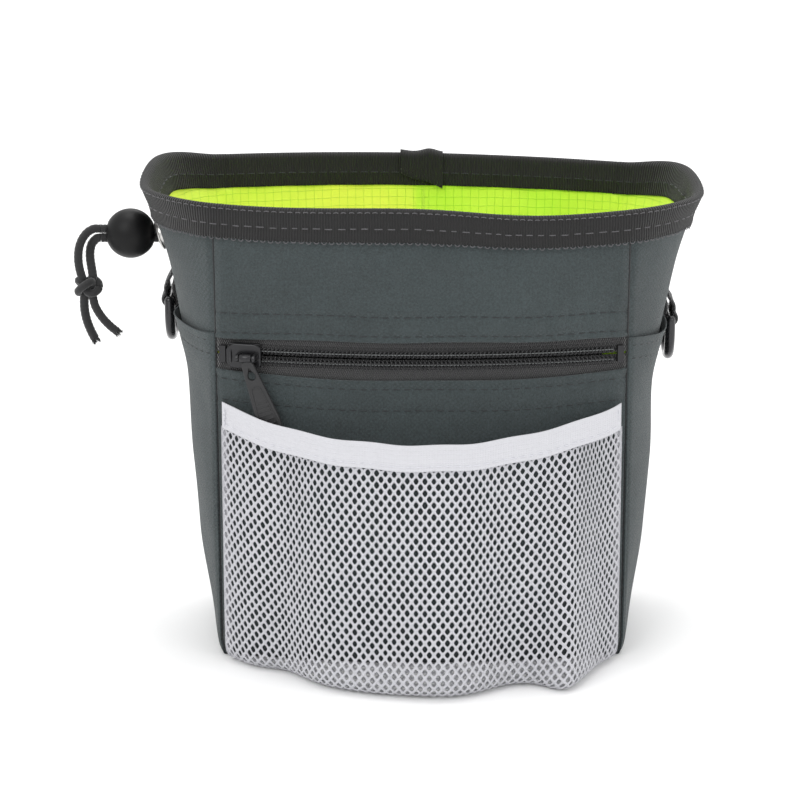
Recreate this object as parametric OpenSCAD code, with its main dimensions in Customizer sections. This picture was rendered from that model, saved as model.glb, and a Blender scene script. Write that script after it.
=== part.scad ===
// Treat pouch: an open-topped cloth bag with a zip pocket, a mesh pocket, a drawstring throat,
// two D-rings and a belt clip. +X is the wearer's right seen from the front, -Y is the front,
// +Z is up, and the origin is the centre of the base. Sizes are in millimetres.

/* [Pouch] */
// Width of the front and back panels between their side seams
panel_w = 140; // [120:1:180]
// Depth of the side gussets between their seams
seam_depth = 68; // [56:1:84]
// Height from the base to the top of the rim
pouch_h = 160; // [150:1:200]
// Outward bow of the front and back panels
panel_bow = 9.5; // [6:0.5:14]
// Outward bulge of a side gusset at the rim
rim_bulge = 26.5; // [18:0.5:30]
// Outward bulge of a side gusset at the base
base_bulge = 2; // [1:0.5:6]
// Part of the side bulge that grows evenly with height
side_swell = 13; // [6:0.5:15]
// Thickness of the outer cloth
shell_t = 1; // [0.8:0.1:1.4]
// Thickness of the lining
lining_t = 0.3; // [0.3:0.1:0.6]
// How far the lower edge tucks in under the bag
base_tuck = 3; // [1:0.5:5]

/* [Rim] */
// Depth of the binding's legs
binding_h = 11; // [8:0.5:15]
// Thickness of the binding
binding_t = 0.8; // [0.6:0.1:1.2]
// Width of the overlap at the back
lap_w = 15; // [10:1:22]
// Drop of the throat collar inside the rim
throat_drop = 45; // [30:1:55]

/* [Zip] */
// Height of the middle of the zip
zip_z = 109.3; // [95:0.5:115]
// Height of the window between the front panels
zip_window = 10.7; // [10:0.1:16]
// Width of both tapes together
tape_w = 32; // [28:1:36]
// Thickness of the tape
tape_t = 0.5; // [0.4:0.1:0.7]
// Height of one row of coil
coil_h = 2.4; // [2:0.1:3]
// Thickness of the coil
coil_t = 1.6; // [1.4:0.1:2]
// Length of the slider
slider_len = 12; // [10:0.5:15]
// Width of the slider
slider_w = 8.4; // [8:0.1:9.6]
// Length of the pull tab
pull_len = 29; // [20:1:34]
// Width of the pull tab at its foot
pull_w = 8.6; // [6:0.2:10]
// Thickness of the pull tab
pull_t = 1.6; // [1.4:0.1:2.2]

/* [Pockets] */
// Height of the left slip pocket
slip_h_left = 117; // [95:1:122]
// Height of the right slip pocket
slip_h_right = 114; // [95:1:122]
// Thickness of the slip pockets
slip_t = 0.6; // [0.5:0.1:0.9]
// Height of the mesh pocket's mouth at its corners
mesh_corner_z = 94; // [80:1:98]
// How much lower the mouth is in its middle
mesh_dip = 10; // [4:1:20]
// How far the mesh bulges out near the base
mesh_bulge = 31; // [20:1:36]
// How far the mouth of the mesh stands open
mesh_gap = 14; // [8:1:22]
// Height of the elastic band
band_h = 9; // [7:0.5:12]

/* [Cord lock] */
// Diameter of the ball
ball_d = 17.2; // [15:0.2:20]
// Diameter of the drawstring
cord_d = 3; // [2.6:0.1:3.2]
// How far the eyelet sits below the rim
eyelet_drop = 17; // [16:0.5:22]
// Outer diameter of the eyelet's flange
eyelet_d = 11; // [10:0.5:13]
// Travel of the button
button_travel = 2.5; // [1.5:0.5:3]

/* [Rings] */
// Inside width of a ring
ring_w = 16; // [14:1:18]
// Thickness of the ring's rod
ring_rod = 3.6; // [3:0.1:4]
// Height of a ring from the top of its bar to its foot
ring_h = 18; // [16:0.5:24]
// How far the bar of the left ring hangs below the rim
ring_drop_left = 43; // [40:1:48]
// How far the bar of the right ring hangs below the rim
ring_drop_right = 50; // [42:1:54]
// Place of the rings behind the middle of the gusset
ring_y = 17; // [16:0.5:19]
// Thickness of the webbing
webbing_t = 1.2; // [1:0.1:1.6]

/* [Back] */
// Height of the foot of the belt loop's tunnel
loop_lo = 84; // [70:1:90]
// Width of the webbing belt loop
loop_w = 38; // [30:1:50]
// Height of the tunnel of the belt loop
loop_h = 46; // [36:1:50]
// Depth of the tunnel of the belt loop
loop_gap = 6; // [5:0.5:9]
// Width of the belt clip
clip_w = 22; // [18:1:28]
// Length of the belt clip's tongue
clip_len = 50; // [40:1:54]
// Thickness of the belt clip's spring steel
clip_t = 1.2; // [1:0.1:1.6]
// Gap behind the belt clip
clip_gap = 5; // [4.5:0.5:7]

/* [Hidden] */
$fn = 48;

// Clearances
sew_gap = 0.05;    // between sewn layers
run_gap = 0.3;     // between pieces that slide past each other
pin_gap = 0.1;     // round a pin

// Overall section of the bag
half_w = panel_w / 2;
half_d = seam_depth / 2;
tuck_h = 8;
shell_top = pouch_h - binding_t - sew_gap;
binding_z = pouch_h - binding_h;
front_steps = 20;
side_steps = 16;
fold_z = pouch_h - 6;
blend_low = [16, 28];
blend_high = [zip_z + tape_w / 2 + 3.7, zip_z + tape_w / 2 + 15.7];
base_t = shell_t + 0.2;
levels = concat([0, base_t, 3.5, tuck_h], blend_low, [45, 62, 80, 94]);
rim_levels = [pouch_h - 42, pouch_h - 31, pouch_h - 19, binding_z, fold_z];

// Layers, as offsets inward from the outer face of the cloth
lining_in = shell_t + sew_gap;
throat_in = lining_in + lining_t + sew_gap;
inner_leg = throat_in + lining_t + 0.2;
tape_in = shell_t + sew_gap;

// Arc of the front panel: its centre is the hinge that the zip slider turns about
front_r = (half_w * half_w + panel_bow * panel_bow) / (2 * panel_bow);
front_cy = -half_d - panel_bow + front_r;
front_turn = 2 * atan(panel_bow / half_w);

// Zip
coil_slit = 0.9;
zip_lo = zip_z - zip_window / 2;
zip_hi = zip_z + zip_window / 2;
tape_half_x = half_w - 1.8;
stop_len = 2.2;
stop_x = tape_half_x - stop_len;
slider_x = stop_x - 0.5 - slider_len / 2;
slider_turn = asin(slider_x / front_r);
plate_t = 1.2;
coil_front = tape_in - coil_t;
plate_in = coil_front - run_gap;
slider_back = tape_in + tape_t + run_gap + plate_t;
lug_x = 1.5;
lug_t = 1.2;
knuckle_w = 4;
knuckle_r = 1.45;
pin_r = 0.65;
pin_off = plate_in - plate_t - 2.4;
pin_y = -half_d - panel_bow + pin_off;
pull_lean = 20;
pocket_back = 4.6;
pocket_half_x = half_w * (1 - 2 / front_steps) - 1;
pocket_low = 32;

// Cord lock and drawstring
eyelet_z = pouch_h - eyelet_drop;
eyelet_mid = eyelet_z - 0.3;
cord_gap = 0.15;
strand_z = cord_d / 2 + cord_gap / 2;
eyelet_bore = 2 * strand_z + 0.75;
eyelet_wall = 0.5;
eyelet_stand = 0.85;
ball_r = ball_d / 2;
ball_x = -half_w - bulge(eyelet_z) - eyelet_stand - 1 - ball_r;
stem_r = 4.8;
stem_front = -3.4;
stem_cup = 1.2;
bore_end = stem_front - button_travel - 0.3;
spring_wire = 0.5;
root_end = ball_x - 10.3;

// Rings
ring_off = 7.6;
rod_r = ring_rod / 2;
tab_gap = 0.2;
ring_z_left = pouch_h - ring_drop_left;
ring_z_right = pouch_h - ring_drop_right;
tab_top = binding_z - 3;
tab_sewn = 10;

// Back
back_y = half_d + panel_bow;
loop_t = 1.4;
foot_h = 8;
loop_y = back_y + sew_gap + loop_gap;
clip_y = loop_y + loop_t + sew_gap;
clip_top = loop_lo + loop_h - 2;
bend_r = clip_gap / 2;
clip_plate = 34;
rivet_x = 6;
rivet_drops = [28, 8];

// Routes of the drawstring from the ball's centre: free strands to the knot, and tails below it
strand_a = [[-10.4, 0, 1.6], [-11.4, -0.05, 1.6], [-12.8, -0.4, 1.6], [-15, -1.2, 0.4],
            [-16.8, -2.2, -2], [-17.8, -3, -5], [-18, -3.8, -8.4], [-17.6, -4.4, -11.6],
            [-16.8, -4.8, -14.6]];
strand_b = [[-10.4, 0, -1.6], [-11.2, 0.05, -1.6], [-12.2, 0.4, -2.2], [-13.6, 0.4, -3.8],
            [-14.2, -0.2, -6], [-14.2, -1.2, -8.4], [-13.8, -2.2, -10.8], [-13.4, -3.2, -12.8],
            [-13.2, -4, -14.8]];
tail_a = [[-13.6, -5, -20.6], [-12.4, -5.8, -24.6], [-10.2, -6.6, -28.2], [-7.4, -7.2, -31.2],
          [-4.6, -7.6, -33.4]];
tail_b = [[-16, -4.4, -20.6], [-16.4, -4.2, -25], [-15.8, -4.4, -29.4], [-14.4, -4.8, -33.4],
          [-12.8, -5.2, -36.6]];
knot_at = [-15, -4.6, -17.8];

function unit(v) = v / norm(v);
function tuck(z) = z >= tuck_h ? 0 : base_tuck * (1 - sqrt(1 - pow((tuck_h - z) / tuck_h, 2)));
function bulge(z) = base_bulge + side_swell * z / pouch_h
    + (rim_bulge - base_bulge - side_swell) * pow(z / pouch_h, 5);

function bulge_slope(z) = (side_swell
    + 5 * (rim_bulge - base_bulge - side_swell) * pow(z / pouch_h, 4)) / pouch_h;

// Distance of a gusset's outer face from the middle plane, at depth y and height z
function gusset_x(y, z) = let (b = bulge(z), r = (half_d * half_d + b * b) / (2 * b))
    half_w + b - r + sqrt(r * r - y * y);

// Inward mitre of a corner at height z, as sizes along X and Y
function mitre(z) = let (f = front_turn, s = 2 * atan(bulge(z) / half_d),
        d = 1 + sin(f) * cos(s) + cos(f) * sin(s))
    [(sin(f) + cos(s)) / d, (cos(f) + sin(s)) / d];

// Corner k (0 front left, then round by the front right), at height z and offset o
function corner(k, z, o) = let (m = mitre(z), sx = (k == 0 || k == 3) ? -1 : 1, sy = k < 2 ? -1 : 1)
    [sx * (half_w - o * m[0]), sy * (half_d - o * m[1])];

// Sagitta of side k (0 front, 1 right, 2 back, 3 left) at height z and offset o
function sag(k, z, o) = let (m = mitre(z))
    k % 2 == 0 ? panel_bow - o * (1 - m[1]) : bulge(z) - o * (1 - m[0]);

// Point of side k at height z and offset o, t from -1 to 1 along the side
function wall(k, z, off, t) = let (o = off + tuck(z), a = corner(k, z, o), b = corner((k + 1) % 4, z, o),
        c = norm(b - a) / 2, s = max(sag(k, z, o), 0.01), turn = 2 * atan(s / c), r = c / sin(turn),
        d = unit(b - a), q = (a + b) / 2 + d * r * sin(turn * t)
            + [d[1], -d[0]] * r * (cos(turn * t) - cos(turn)))
    [q[0], q[1], z];

function steps(k) = k % 2 == 0 ? front_steps : side_steps;
function strip(k, z, o, t0 = -1, t1 = 1) =
    [for (i = [0 : steps(k)]) wall(k, z, o, t0 + (t1 - t0) * i / steps(k))];
function ring(z, o) = [for (k = [0 : 3]) for (i = [0 : steps(k) - 1]) wall(k, z, o, -1 + 2 * i / steps(k))];
function between(list, lo, hi) = concat([lo], [for (z = list) if (z > lo + 0.3 && z < hi - 0.3) z], [hi]);
function merged(list) = len(list) < 2 ? list : let (low = min(list))
    concat([low], merged([for (v = list) if (v > low + 0.5) v]));
function all_levels() = merged(concat(levels, [zip_lo, zip_hi], blend_high, rim_levels));

// Closed sheet between two equal grids of points, wrapped round when loop is true
module sheet(outer, inner, loop = false) {
    rows = len(outer);
    cols = len(outer[0]);
    n = rows * cols;
    last = loop ? cols - 1 : cols - 2;
    function at(r, c, s) = s * n + r * cols + c % cols;
    function quad(a, b, c, d) = [[a, b, c], [a, c, d]];
    faces = concat(
        [for (r = [0 : rows - 2], c = [0 : last])
            each quad(at(r, c, 0), at(r + 1, c, 0), at(r + 1, c + 1, 0), at(r, c + 1, 0))],
        [for (r = [0 : rows - 2], c = [0 : last])
            each quad(at(r, c, 1), at(r, c + 1, 1), at(r + 1, c + 1, 1), at(r + 1, c, 1))],
        [for (c = [0 : last]) each quad(at(0, c, 1), at(0, c, 0), at(0, c + 1, 0), at(0, c + 1, 1))],
        [for (c = [0 : last]) each quad(at(rows - 1, c, 0), at(rows - 1, c, 1),
            at(rows - 1, c + 1, 1), at(rows - 1, c + 1, 0))],
        loop ? [] : [for (r = [0 : rows - 2]) each quad(at(r, 0, 1), at(r + 1, 0, 1),
            at(r + 1, 0, 0), at(r, 0, 0))],
        loop ? [] : [for (r = [0 : rows - 2]) each quad(at(r, cols - 1, 0), at(r + 1, cols - 1, 0),
            at(r + 1, cols - 1, 1), at(r, cols - 1, 1))]);
    polyhedron(concat([for (row = outer) each row], [for (row = inner) each row]), faces);
}

// Panel of side k between two heights and two offsets
module panel(k, zs, o_out, o_in, t0 = -1, t1 = 1) {
    sheet([for (z = zs) strip(k, z, o_out, t0, t1)], [for (z = zs) strip(k, z, o_in, t0, t1)]);
}

// Flat plate that fills the ring at offset o between two heights
module plate(z0, z1, o) {
    low = ring(z0, o);
    high = ring(z1, o);
    n = len(low);
    faces = concat([for (i = [0 : n - 1]) let (j = (i + 1) % n) each [[i, n + i, n + j], [i, n + j, j]]],
        [[for (i = [0 : n - 1]) i]], [[for (i = [n - 1 : -1 : 0]) n + i]]);
    polyhedron(concat(low, high), faces);
}

function ahead(route, i) = unit(route[min(i + 1, len(route) - 1)] - route[max(i - 1, 0)]);
function square_to(v, d) = unit(v - d * (v * d));

// Side vector at every point of a route, carried along so that it never twists
function side_vectors(route, first) = [for (i = 0, v = square_to(first, ahead(route, 0)); i < len(route);
    i = i + 1, v = i < len(route) ? square_to(v, ahead(route, i)) : v) v];

// Tube of diameter d along route points, with flat ends
module tube(route, d, sides = 8, first = [0, 0.1, 1]) {
    n = len(route);
    vs = side_vectors(route, first);
    points = [for (i = [0 : n - 1], j = [0 : sides - 1]) let (w = cross(ahead(route, i), vs[i]))
        route[i] + (vs[i] * cos(360 * j / sides) + w * sin(360 * j / sides)) * d / 2];
    faces = concat([for (i = [0 : n - 2], j = [0 : sides - 1]) let (k = (j + 1) % sides)
            each [[i * sides + j, (i + 1) * sides + j, (i + 1) * sides + k],
                  [i * sides + j, (i + 1) * sides + k, i * sides + k]]],
        [[for (j = [0 : sides - 1]) j]], [[for (j = [sides - 1 : -1 : 0]) (n - 1) * sides + j]]);
    polyhedron(points, faces);
}

// Solid turned about the front arc's centre: offset o0 to o1, half-width x, centred on height z
module front_band(o0, o1, x, z0, z1) {
    turn = asin(x / front_r);
    translate([0, front_cy, 0])
        rotate([0, 0, -90 - turn])
            rotate_extrude(angle = 2 * turn, $fn = 360)
                translate([front_r - o1, z0])
                    square([o1 - o0, z1 - z0]);
}

module about_front(turn) {
    translate([0, front_cy, 0]) rotate([0, 0, turn]) translate([0, -front_cy, 0]) children();
}

module front_panel_lower() {
    color([0.30, 0.34, 0.36]) panel(0, between(all_levels(), 0, zip_lo), 0, shell_t);
}

module front_panel_upper() {
    color([0.30, 0.34, 0.36]) panel(0, between(all_levels(), zip_hi, shell_top), 0, shell_t);
}

// Frame of the eyelet: +Z is the outward normal of the left gusset
module at_eyelet() {
    translate([-half_w - bulge(eyelet_mid), 0, eyelet_mid])
        rotate([0, -90 - atan(bulge_slope(eyelet_mid)), 0])
            children();
}

module eyelet_hole() {
    at_eyelet() translate([0, 0, -6]) cylinder(r = eyelet_bore + eyelet_wall + 0.1, h = 10);
}

module side_panel(k) {
    panel(k, between(all_levels(), 0, shell_top), 0, shell_t);
}

module side_panel_left() {
    color([0.30, 0.34, 0.36]) difference() {
        side_panel(3);
        eyelet_hole();
    }
}

module side_panel_right() {
    color([0.30, 0.34, 0.36]) side_panel(1);
}

module side_pocket_left() {
    color([0.33, 0.37, 0.39]) panel(3, between(all_levels(), 0, slip_h_left), -sew_gap - slip_t, -sew_gap);
}

module side_pocket_right() {
    color([0.33, 0.37, 0.39]) panel(1, between(all_levels(), 0, slip_h_right), -sew_gap - slip_t, -sew_gap);
}

module back_panel() {
    color([0.28, 0.32, 0.34]) panel(2, between(all_levels(), 0, shell_top), 0, shell_t);
}

module bottom_panel() {
    color([0.26, 0.30, 0.32]) plate(0, base_t, shell_t);
}

function ramp(z, ends) = max(0, min(1, (z - ends[0]) / (ends[1] - ends[0])));

// Offset of the lining: it lies behind the zip pocket on the front
function lining_set(k, z) = lining_in + (k == 0 ? (pocket_back - lining_in + 0.3)
    * ramp(z, blend_low) * (1 - ramp(z, blend_high)) : 0);
function lining_ring(z, extra) = [for (k = [0 : 3]) for (i = [0 : steps(k) - 1])
    let (t = -1 + 2 * i / steps(k), edge = min(1, (1 - abs(t)) * 10), o = lining_set(k, z))
        wall(k, z, lining_in + (o - lining_in) * edge + extra, t)];

module lining() {
    floor_z = base_t + sew_gap;
    zs = between(all_levels(), floor_z, shell_top);
    color([0.72, 0.95, 0.16]) difference() {
        union() {
            sheet([for (z = zs) lining_ring(z, 0)], [for (z = zs) lining_ring(z, lining_t)], true);
            plate(floor_z, floor_z + lining_t, lining_in + lining_t);
        }
        eyelet_hole();
    }
}

module throat() {
    zs = between(all_levels(), pouch_h - throat_drop, shell_top);
    color([0.78, 0.98, 0.20]) difference() {
        sheet([for (z = zs) lining_ring(z, lining_t + sew_gap)],
              [for (z = zs) lining_ring(z, 2 * lining_t + sew_gap)], true);
        eyelet_hole();
    }
}

// Tape folded over the rim: outer leg from z_out, over the top at z_top, inner leg down to z_in
module folded_tape(o_out, o_in, z_out, z_in, z_top, t = 0) {
    function row(z, o) = t > 0 ? strip(2, z, o, -t, t) : ring(z, o);
    under = z_top - binding_t;
    sheet([row(z_out, o_out), row(fold_z, o_out), row(z_top, o_out),
           row(z_top, o_in), row(fold_z, o_in), row(z_in, o_in)],
          [row(z_out, o_out + binding_t), row(fold_z, o_out + binding_t), row(under, o_out + binding_t),
           row(under, o_in - binding_t), row(fold_z, o_in - binding_t), row(z_in, o_in - binding_t)],
          t == 0);
}

module rim_binding() {
    color([0.20, 0.19, 0.20])
        folded_tape(-sew_gap - binding_t, inner_leg + binding_t, binding_z, binding_z, pouch_h);
}

// Overlap of the binding at the middle of the back
module binding_lap() {
    over = binding_t + sew_gap;
    color([0.16, 0.15, 0.16])
        folded_tape(-sew_gap - binding_t - over, inner_leg + binding_t + over, binding_z, binding_z - 3,
            pouch_h + over, lap_w / panel_w);
}

module zip_tape_lower() {
    color([0.08, 0.08, 0.09]) front_band(tape_in, tape_in + tape_t, tape_half_x,
        zip_z - tape_w / 2, zip_z - coil_slit / 2);
}

module zip_tape_upper() {
    color([0.08, 0.08, 0.09]) front_band(tape_in, tape_in + tape_t, tape_half_x,
        zip_z + coil_slit / 2, zip_z + tape_w / 2);
}

module zip_coil_lower() {
    color([0.12, 0.12, 0.13]) front_band(coil_front, tape_in, stop_x,
        zip_z - coil_slit / 2 - coil_h, zip_z - coil_slit / 2);
}

module zip_coil_upper() {
    color([0.12, 0.12, 0.13]) front_band(coil_front, tape_in, stop_x,
        zip_z + coil_slit / 2, zip_z + coil_slit / 2 + coil_h);
}

module zip_stops() {
    color([0.15, 0.15, 0.16]) for (side = [-1, 1])
        about_front(side * asin((stop_x + stop_len / 2) / front_r))
            front_band(coil_front, tape_in, stop_len / 2 - 0.02,
                zip_z - coil_slit / 2 - coil_h, zip_z + coil_slit / 2 + coil_h);
}

// Slider as made at the middle of the zip: two plates joined by a web, flanges and a crown
module slider_blank() {
    half_l = slider_len / 2;
    half_h = slider_w / 2;
    flange_t = 0.6;
    back_in = tape_in + tape_t + run_gap;
    intersection() {
        union() {
            front_band(plate_in - plate_t, plate_in, half_l, zip_z - half_h, zip_z + half_h);
            front_band(back_in, back_in + plate_t, half_l, zip_z - half_h, zip_z + half_h);
            front_band(plate_in - 0.2, back_in + 0.2, 2, zip_z - 0.3, zip_z + 0.3);
            for (side = [-1, 1])
                front_band(plate_in - 0.2, tape_in - run_gap, half_l,
                    zip_z + side * (half_h - flange_t / 2) - flange_t / 2,
                    zip_z + side * (half_h - flange_t / 2) + flange_t / 2);
        }
        translate([0, -half_d - panel_bow + 10, zip_z]) rotate([90, 0, 0])
            linear_extrude(20) polygon([[-half_l, -half_h + 1.6], [-half_l, half_h - 1.6],
                [-half_l + 2.4, half_h], [half_l - 2, half_h], [half_l, half_h - 0.9],
                [half_l, -half_h + 0.9], [half_l - 2, -half_h], [-half_l + 2.4, -half_h]]);
    }
    slider_lugs();
}

// Two lugs and the pin that the pull hangs from, along the zip
module slider_lugs() {
    root_y = -half_d - panel_bow + plate_in - plate_t + 0.2;
    for (side = [-1, 1])
        translate([lug_x + side * (knuckle_w / 2 + run_gap + lug_t / 2), 0, 0]) {
            translate([-lug_t / 2, pin_y, zip_z - 1.3]) cube([lug_t, root_y - pin_y, 2.6]);
            translate([-lug_t / 2, pin_y, zip_z]) rotate([0, 90, 0]) cylinder(r = 1.3, h = lug_t);
        }
    translate([lug_x - knuckle_w / 2 - run_gap - lug_t / 2, pin_y, zip_z])
        rotate([0, 90, 0])
            cylinder(r = pin_r, h = knuckle_w + 2 * run_gap + lug_t);
}

module zip_slider() {
    color([0.10, 0.10, 0.11]) about_front(-slider_turn) slider_blank();
}

// Pull tab: a knuckle round the pin and a tapered tab with a teardrop hole, leaning to the right
module pull_blank() {
    translate([lug_x, pin_y, zip_z]) difference() {
        union() {
            translate([-knuckle_w / 2, 0, 0]) rotate([0, 90, 0]) cylinder(r = knuckle_r, h = knuckle_w);
            translate([0, pull_t / 2, 0]) rotate([90, 0, 0]) linear_extrude(pull_t) pull_outline();
        }
        translate([-knuckle_w, 0, 0]) rotate([0, 90, 0]) cylinder(r = pin_r + pin_gap, h = 2 * knuckle_w);
        for (side = [-1, 1])
            translate([side * (knuckle_w / 2 + 2) - 2, -2.5, -2.2]) cube([4, 5, 5]);
    }
}

module pull_outline() {
    top = 2.4;
    difference() {
        union() {
            translate([-knuckle_w / 2, -3]) square([knuckle_w, 3]);
            rotate(pull_lean) polygon([[-top, -2.4], [top - 0.4, -2], [pull_w / 2, -pull_len + 6],
                [pull_w / 2 - 0.5, -pull_len + 1.5], [pull_w / 2 - 2, -pull_len],
                [-pull_w / 2 + 2, -pull_len], [-pull_w / 2 + 0.5, -pull_len + 1.5],
                [-pull_w / 2, -pull_len + 6]]);
        }
        rotate(pull_lean) {
            translate([0, -6.4]) circle(r = 1.4);
            polygon([[-1.33, -6], [0, -3.2], [1.33, -6]]);
        }
    }
}

module zip_pull_tab() {
    color([0.13, 0.13, 0.14]) about_front(-slider_turn) pull_blank();
}

// Flat bag behind the zip, open at the front where the zip is
module zip_pocket_bag() {
    ply = 0.25;
    front = tape_in + tape_t + sew_gap;
    high = zip_z + tape_w / 2 + 1.7;
    color([0.16, 0.17, 0.18]) difference() {
        front_band(front, pocket_back, pocket_half_x, pocket_low, high);
        front_band(front + ply, pocket_back - ply, pocket_half_x - ply, pocket_low + ply, high + 1);
        front_band(front - 1, front + 2 * ply, pocket_half_x - ply, zip_z - tape_w / 2 + 2, high + 1);
        front_band(front - 1, slider_back + run_gap, pocket_half_x + 1,
            zip_z - slider_w / 2 - run_gap, zip_z + slider_w / 2 + run_gap);
    }
}

// Share of the mesh pocket's full depth, which is reached this far from each side seam
spread_w = 70;
function spread(t) = pow(cos(90 * max(0, min(1, 1 - (1 - abs(t)) * half_w / spread_w))), 0.8);
function mouth_z(t) = mesh_corner_z - mesh_dip * pow(1 - t * t, 0.8);
function forward(t, z, d) = wall(0, z, 0, t) + [0, -d, 0];
mesh_edge = 0.965;
mesh_steps = 24;
mesh_t = 0.8;
band_t = 1.1;
mesh_foot = 1.35;

// One column of the mesh pocket from the base seam, out over the floor and up to the band
function mesh_column(t, skin) = let (d = 1.3 + mesh_bulge * spread(t), g = 1 + mesh_gap * spread(t),
        top = mouth_z(t) - band_h - sew_gap, e = skin * mesh_t)
    [forward(t, 0, sew_gap + skin * mesh_foot) + [0, 0, e], forward(t, 0, d * 0.45) + [0, 0, e],
     forward(t, 0, d * 0.9 - e) + [0, 0, e], forward(t, 4, d - e), forward(t, 14, d * 0.985 - e),
     forward(t, 34, d * 0.86 + g * 0.1 - e), forward(t, 56, d * 0.5 + g * 0.46 - e), forward(t, top, g - e)];

module mesh_pocket() {
    ts = [for (i = [0 : mesh_steps]) mesh_edge * (2 * i / mesh_steps - 1)];
    outer = [for (t = ts) mesh_column(t, 0)];
    inner = [for (t = ts) mesh_column(t, 1)];
    color([0.88, 0.88, 0.91]) sheet([for (r = [0 : 7]) [for (c = outer) c[r]]],
                                    [for (r = [0 : 7]) [for (c = inner) c[r]]]);
}

module mesh_band() {
    ts = [for (i = [0 : mesh_steps]) mesh_edge * (2 * i / mesh_steps - 1)];
    color([0.93, 0.93, 0.95])
        sheet([for (drop = [band_h, band_h / 2, 0])
                [for (t = ts) forward(t, mouth_z(t) - drop, 1.2 + mesh_gap * spread(t))]],
              [for (drop = [band_h, band_h / 2, 0])
                [for (t = ts) forward(t, mouth_z(t) - drop, 1.2 + mesh_gap * spread(t) - band_t)]]);
}

// Drawstring: in from the ball through the eyelet, down to the throat's hem, round it and back
hem_z = pouch_h - throat_drop + 2;
hem_in = lining_t * 2 + sew_gap + cord_d / 2 + 0.1;
function hem_point(k, t) = let (edge = min(1, (1 - abs(t)) * 14), o = lining_set(k, hem_z))
    wall(k, hem_z, lining_in + (o - lining_in) * edge + hem_in, t);
gusset_mid = half_w + bulge(eyelet_z);
function drop_route(side, z) = [[root_end, 0, z], [-gusset_mid - 4.8, 0, z], [4.2 - gusset_mid, 0, z],
    [8.2 - gusset_mid, side * 1.2, z - 1.2], [10.2 - gusset_mid, side * 2.4, z - 4],
    [11 - gusset_mid, side * 3.2, z - 9], [12.2 - gusset_mid, side * 3.6, hem_z + 9],
    [13 - gusset_mid, side * 4.4, hem_z + 4], [12.8 - gusset_mid, side * 6.2, hem_z + 1.2]];
function reverse(list) = [for (i = [len(list) - 1 : -1 : 0]) list[i]];

module drawstring_cord() {
    hem_steps = 12;
    route = concat(drop_route(-1, eyelet_z + strand_z),
        [for (i = [3 : 5]) hem_point(3, 2 * (i + 0.5) / 6 - 1 + 0.15)],
        [for (k = [0 : 2], i = [0 : hem_steps - 1]) hem_point(k, 2 * (i + 0.5) / hem_steps - 1)],
        [for (i = [0 : 2]) hem_point(3, 2 * (i + 0.5) / 6 - 1 - 0.15)],
        reverse(drop_route(1, eyelet_z - strand_z)));
    color([0.07, 0.07, 0.08]) tube(route, cord_d);
}

module drawstring_ends() {
    color([0.07, 0.07, 0.08]) translate([ball_x, 0, eyelet_z]) {
        tube(strand_a, cord_d);
        tube(strand_b, cord_d);
        tube(tail_a, cord_d);
        tube(tail_b, cord_d);
        hull()
            for (side = [-1, 1])
                translate(knot_at + [side * 1.8, 0, 0]) sphere(r = 4, $fn = 20);
    }
}

// Ball with a bore for the plunger from the back and a cross hole for the two strands
module cord_lock_shell() {
    hole = cord_d / 2 + 0.15;
    color([0.05, 0.05, 0.055]) difference() {
        translate([ball_x, 0, eyelet_z]) sphere(r = ball_r);
        translate([ball_x, bore_end, eyelet_z]) rotate([-90, 0, 0]) cylinder(r = stem_r + pin_gap, h = 20);
        strand_slot(hole, hole);
    }
}

// Slot across the lock for both strands, from y0 forward of the middle to y1 behind it
module strand_slot(y0, y1) {
    hole = cord_d / 2 + 0.15;
    translate([ball_x - 12, -y0, eyelet_z - strand_z - hole]) cube([24, y0 + y1, 2 * (strand_z + hole)]);
}

module cord_lock_button() {
    color([0.07, 0.07, 0.075]) difference() {
        translate([ball_x, stem_front, eyelet_z]) rotate([-90, 0, 0]) {
            cylinder(r = stem_r, h = ball_r - stem_front + 1.2);
            translate([0, 0, ball_r - stem_front + 1.2]) cylinder(r1 = stem_r, r2 = stem_r - 1.2, h = 1.2);
        }
        translate([ball_x, stem_front - 1, eyelet_z]) rotate([-90, 0, 0]) cylinder(r = 3.2, h = 1 + stem_cup);
        strand_slot(cord_d / 2 + 0.15, cord_d / 2 + 0.15 + button_travel);
    }
}

module cord_lock_spring() {
    turns = 2.5;
    low = bore_end + spring_wire / 2 + 0.05;
    rise = stem_front + stem_cup - spring_wire / 2 - 0.05 - low;
    color([0.7, 0.7, 0.72])
        tube([for (i = [0 : 30]) let (a = 360 * turns * i / 30)
            [ball_x + 2.5 * cos(a), low + rise * i / 30, eyelet_z + 2.5 * sin(a)]],
            spring_wire, 6, [1, 0, 0.1]);
}

module eyelet_face() {
    color([0.75, 0.76, 0.77]) at_eyelet() difference() {
        union() {
            translate([0, 0, eyelet_stand - 0.7]) cylinder(d = eyelet_d, h = 0.7);
            translate([0, 0, -2.95]) cylinder(r = eyelet_bore + eyelet_wall, h = 2.95 + eyelet_stand);
        }
        translate([0, 0, -4]) cylinder(r = eyelet_bore, h = 8);
    }
}

module eyelet_washer() {
    color([0.70, 0.71, 0.72]) at_eyelet() translate([0, 0, -2.9]) difference() {
        cylinder(d = eyelet_d, h = 0.6);
        translate([0, 0, -1]) cylinder(r = eyelet_bore + eyelet_wall + sew_gap, h = 3);
    }
}

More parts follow.
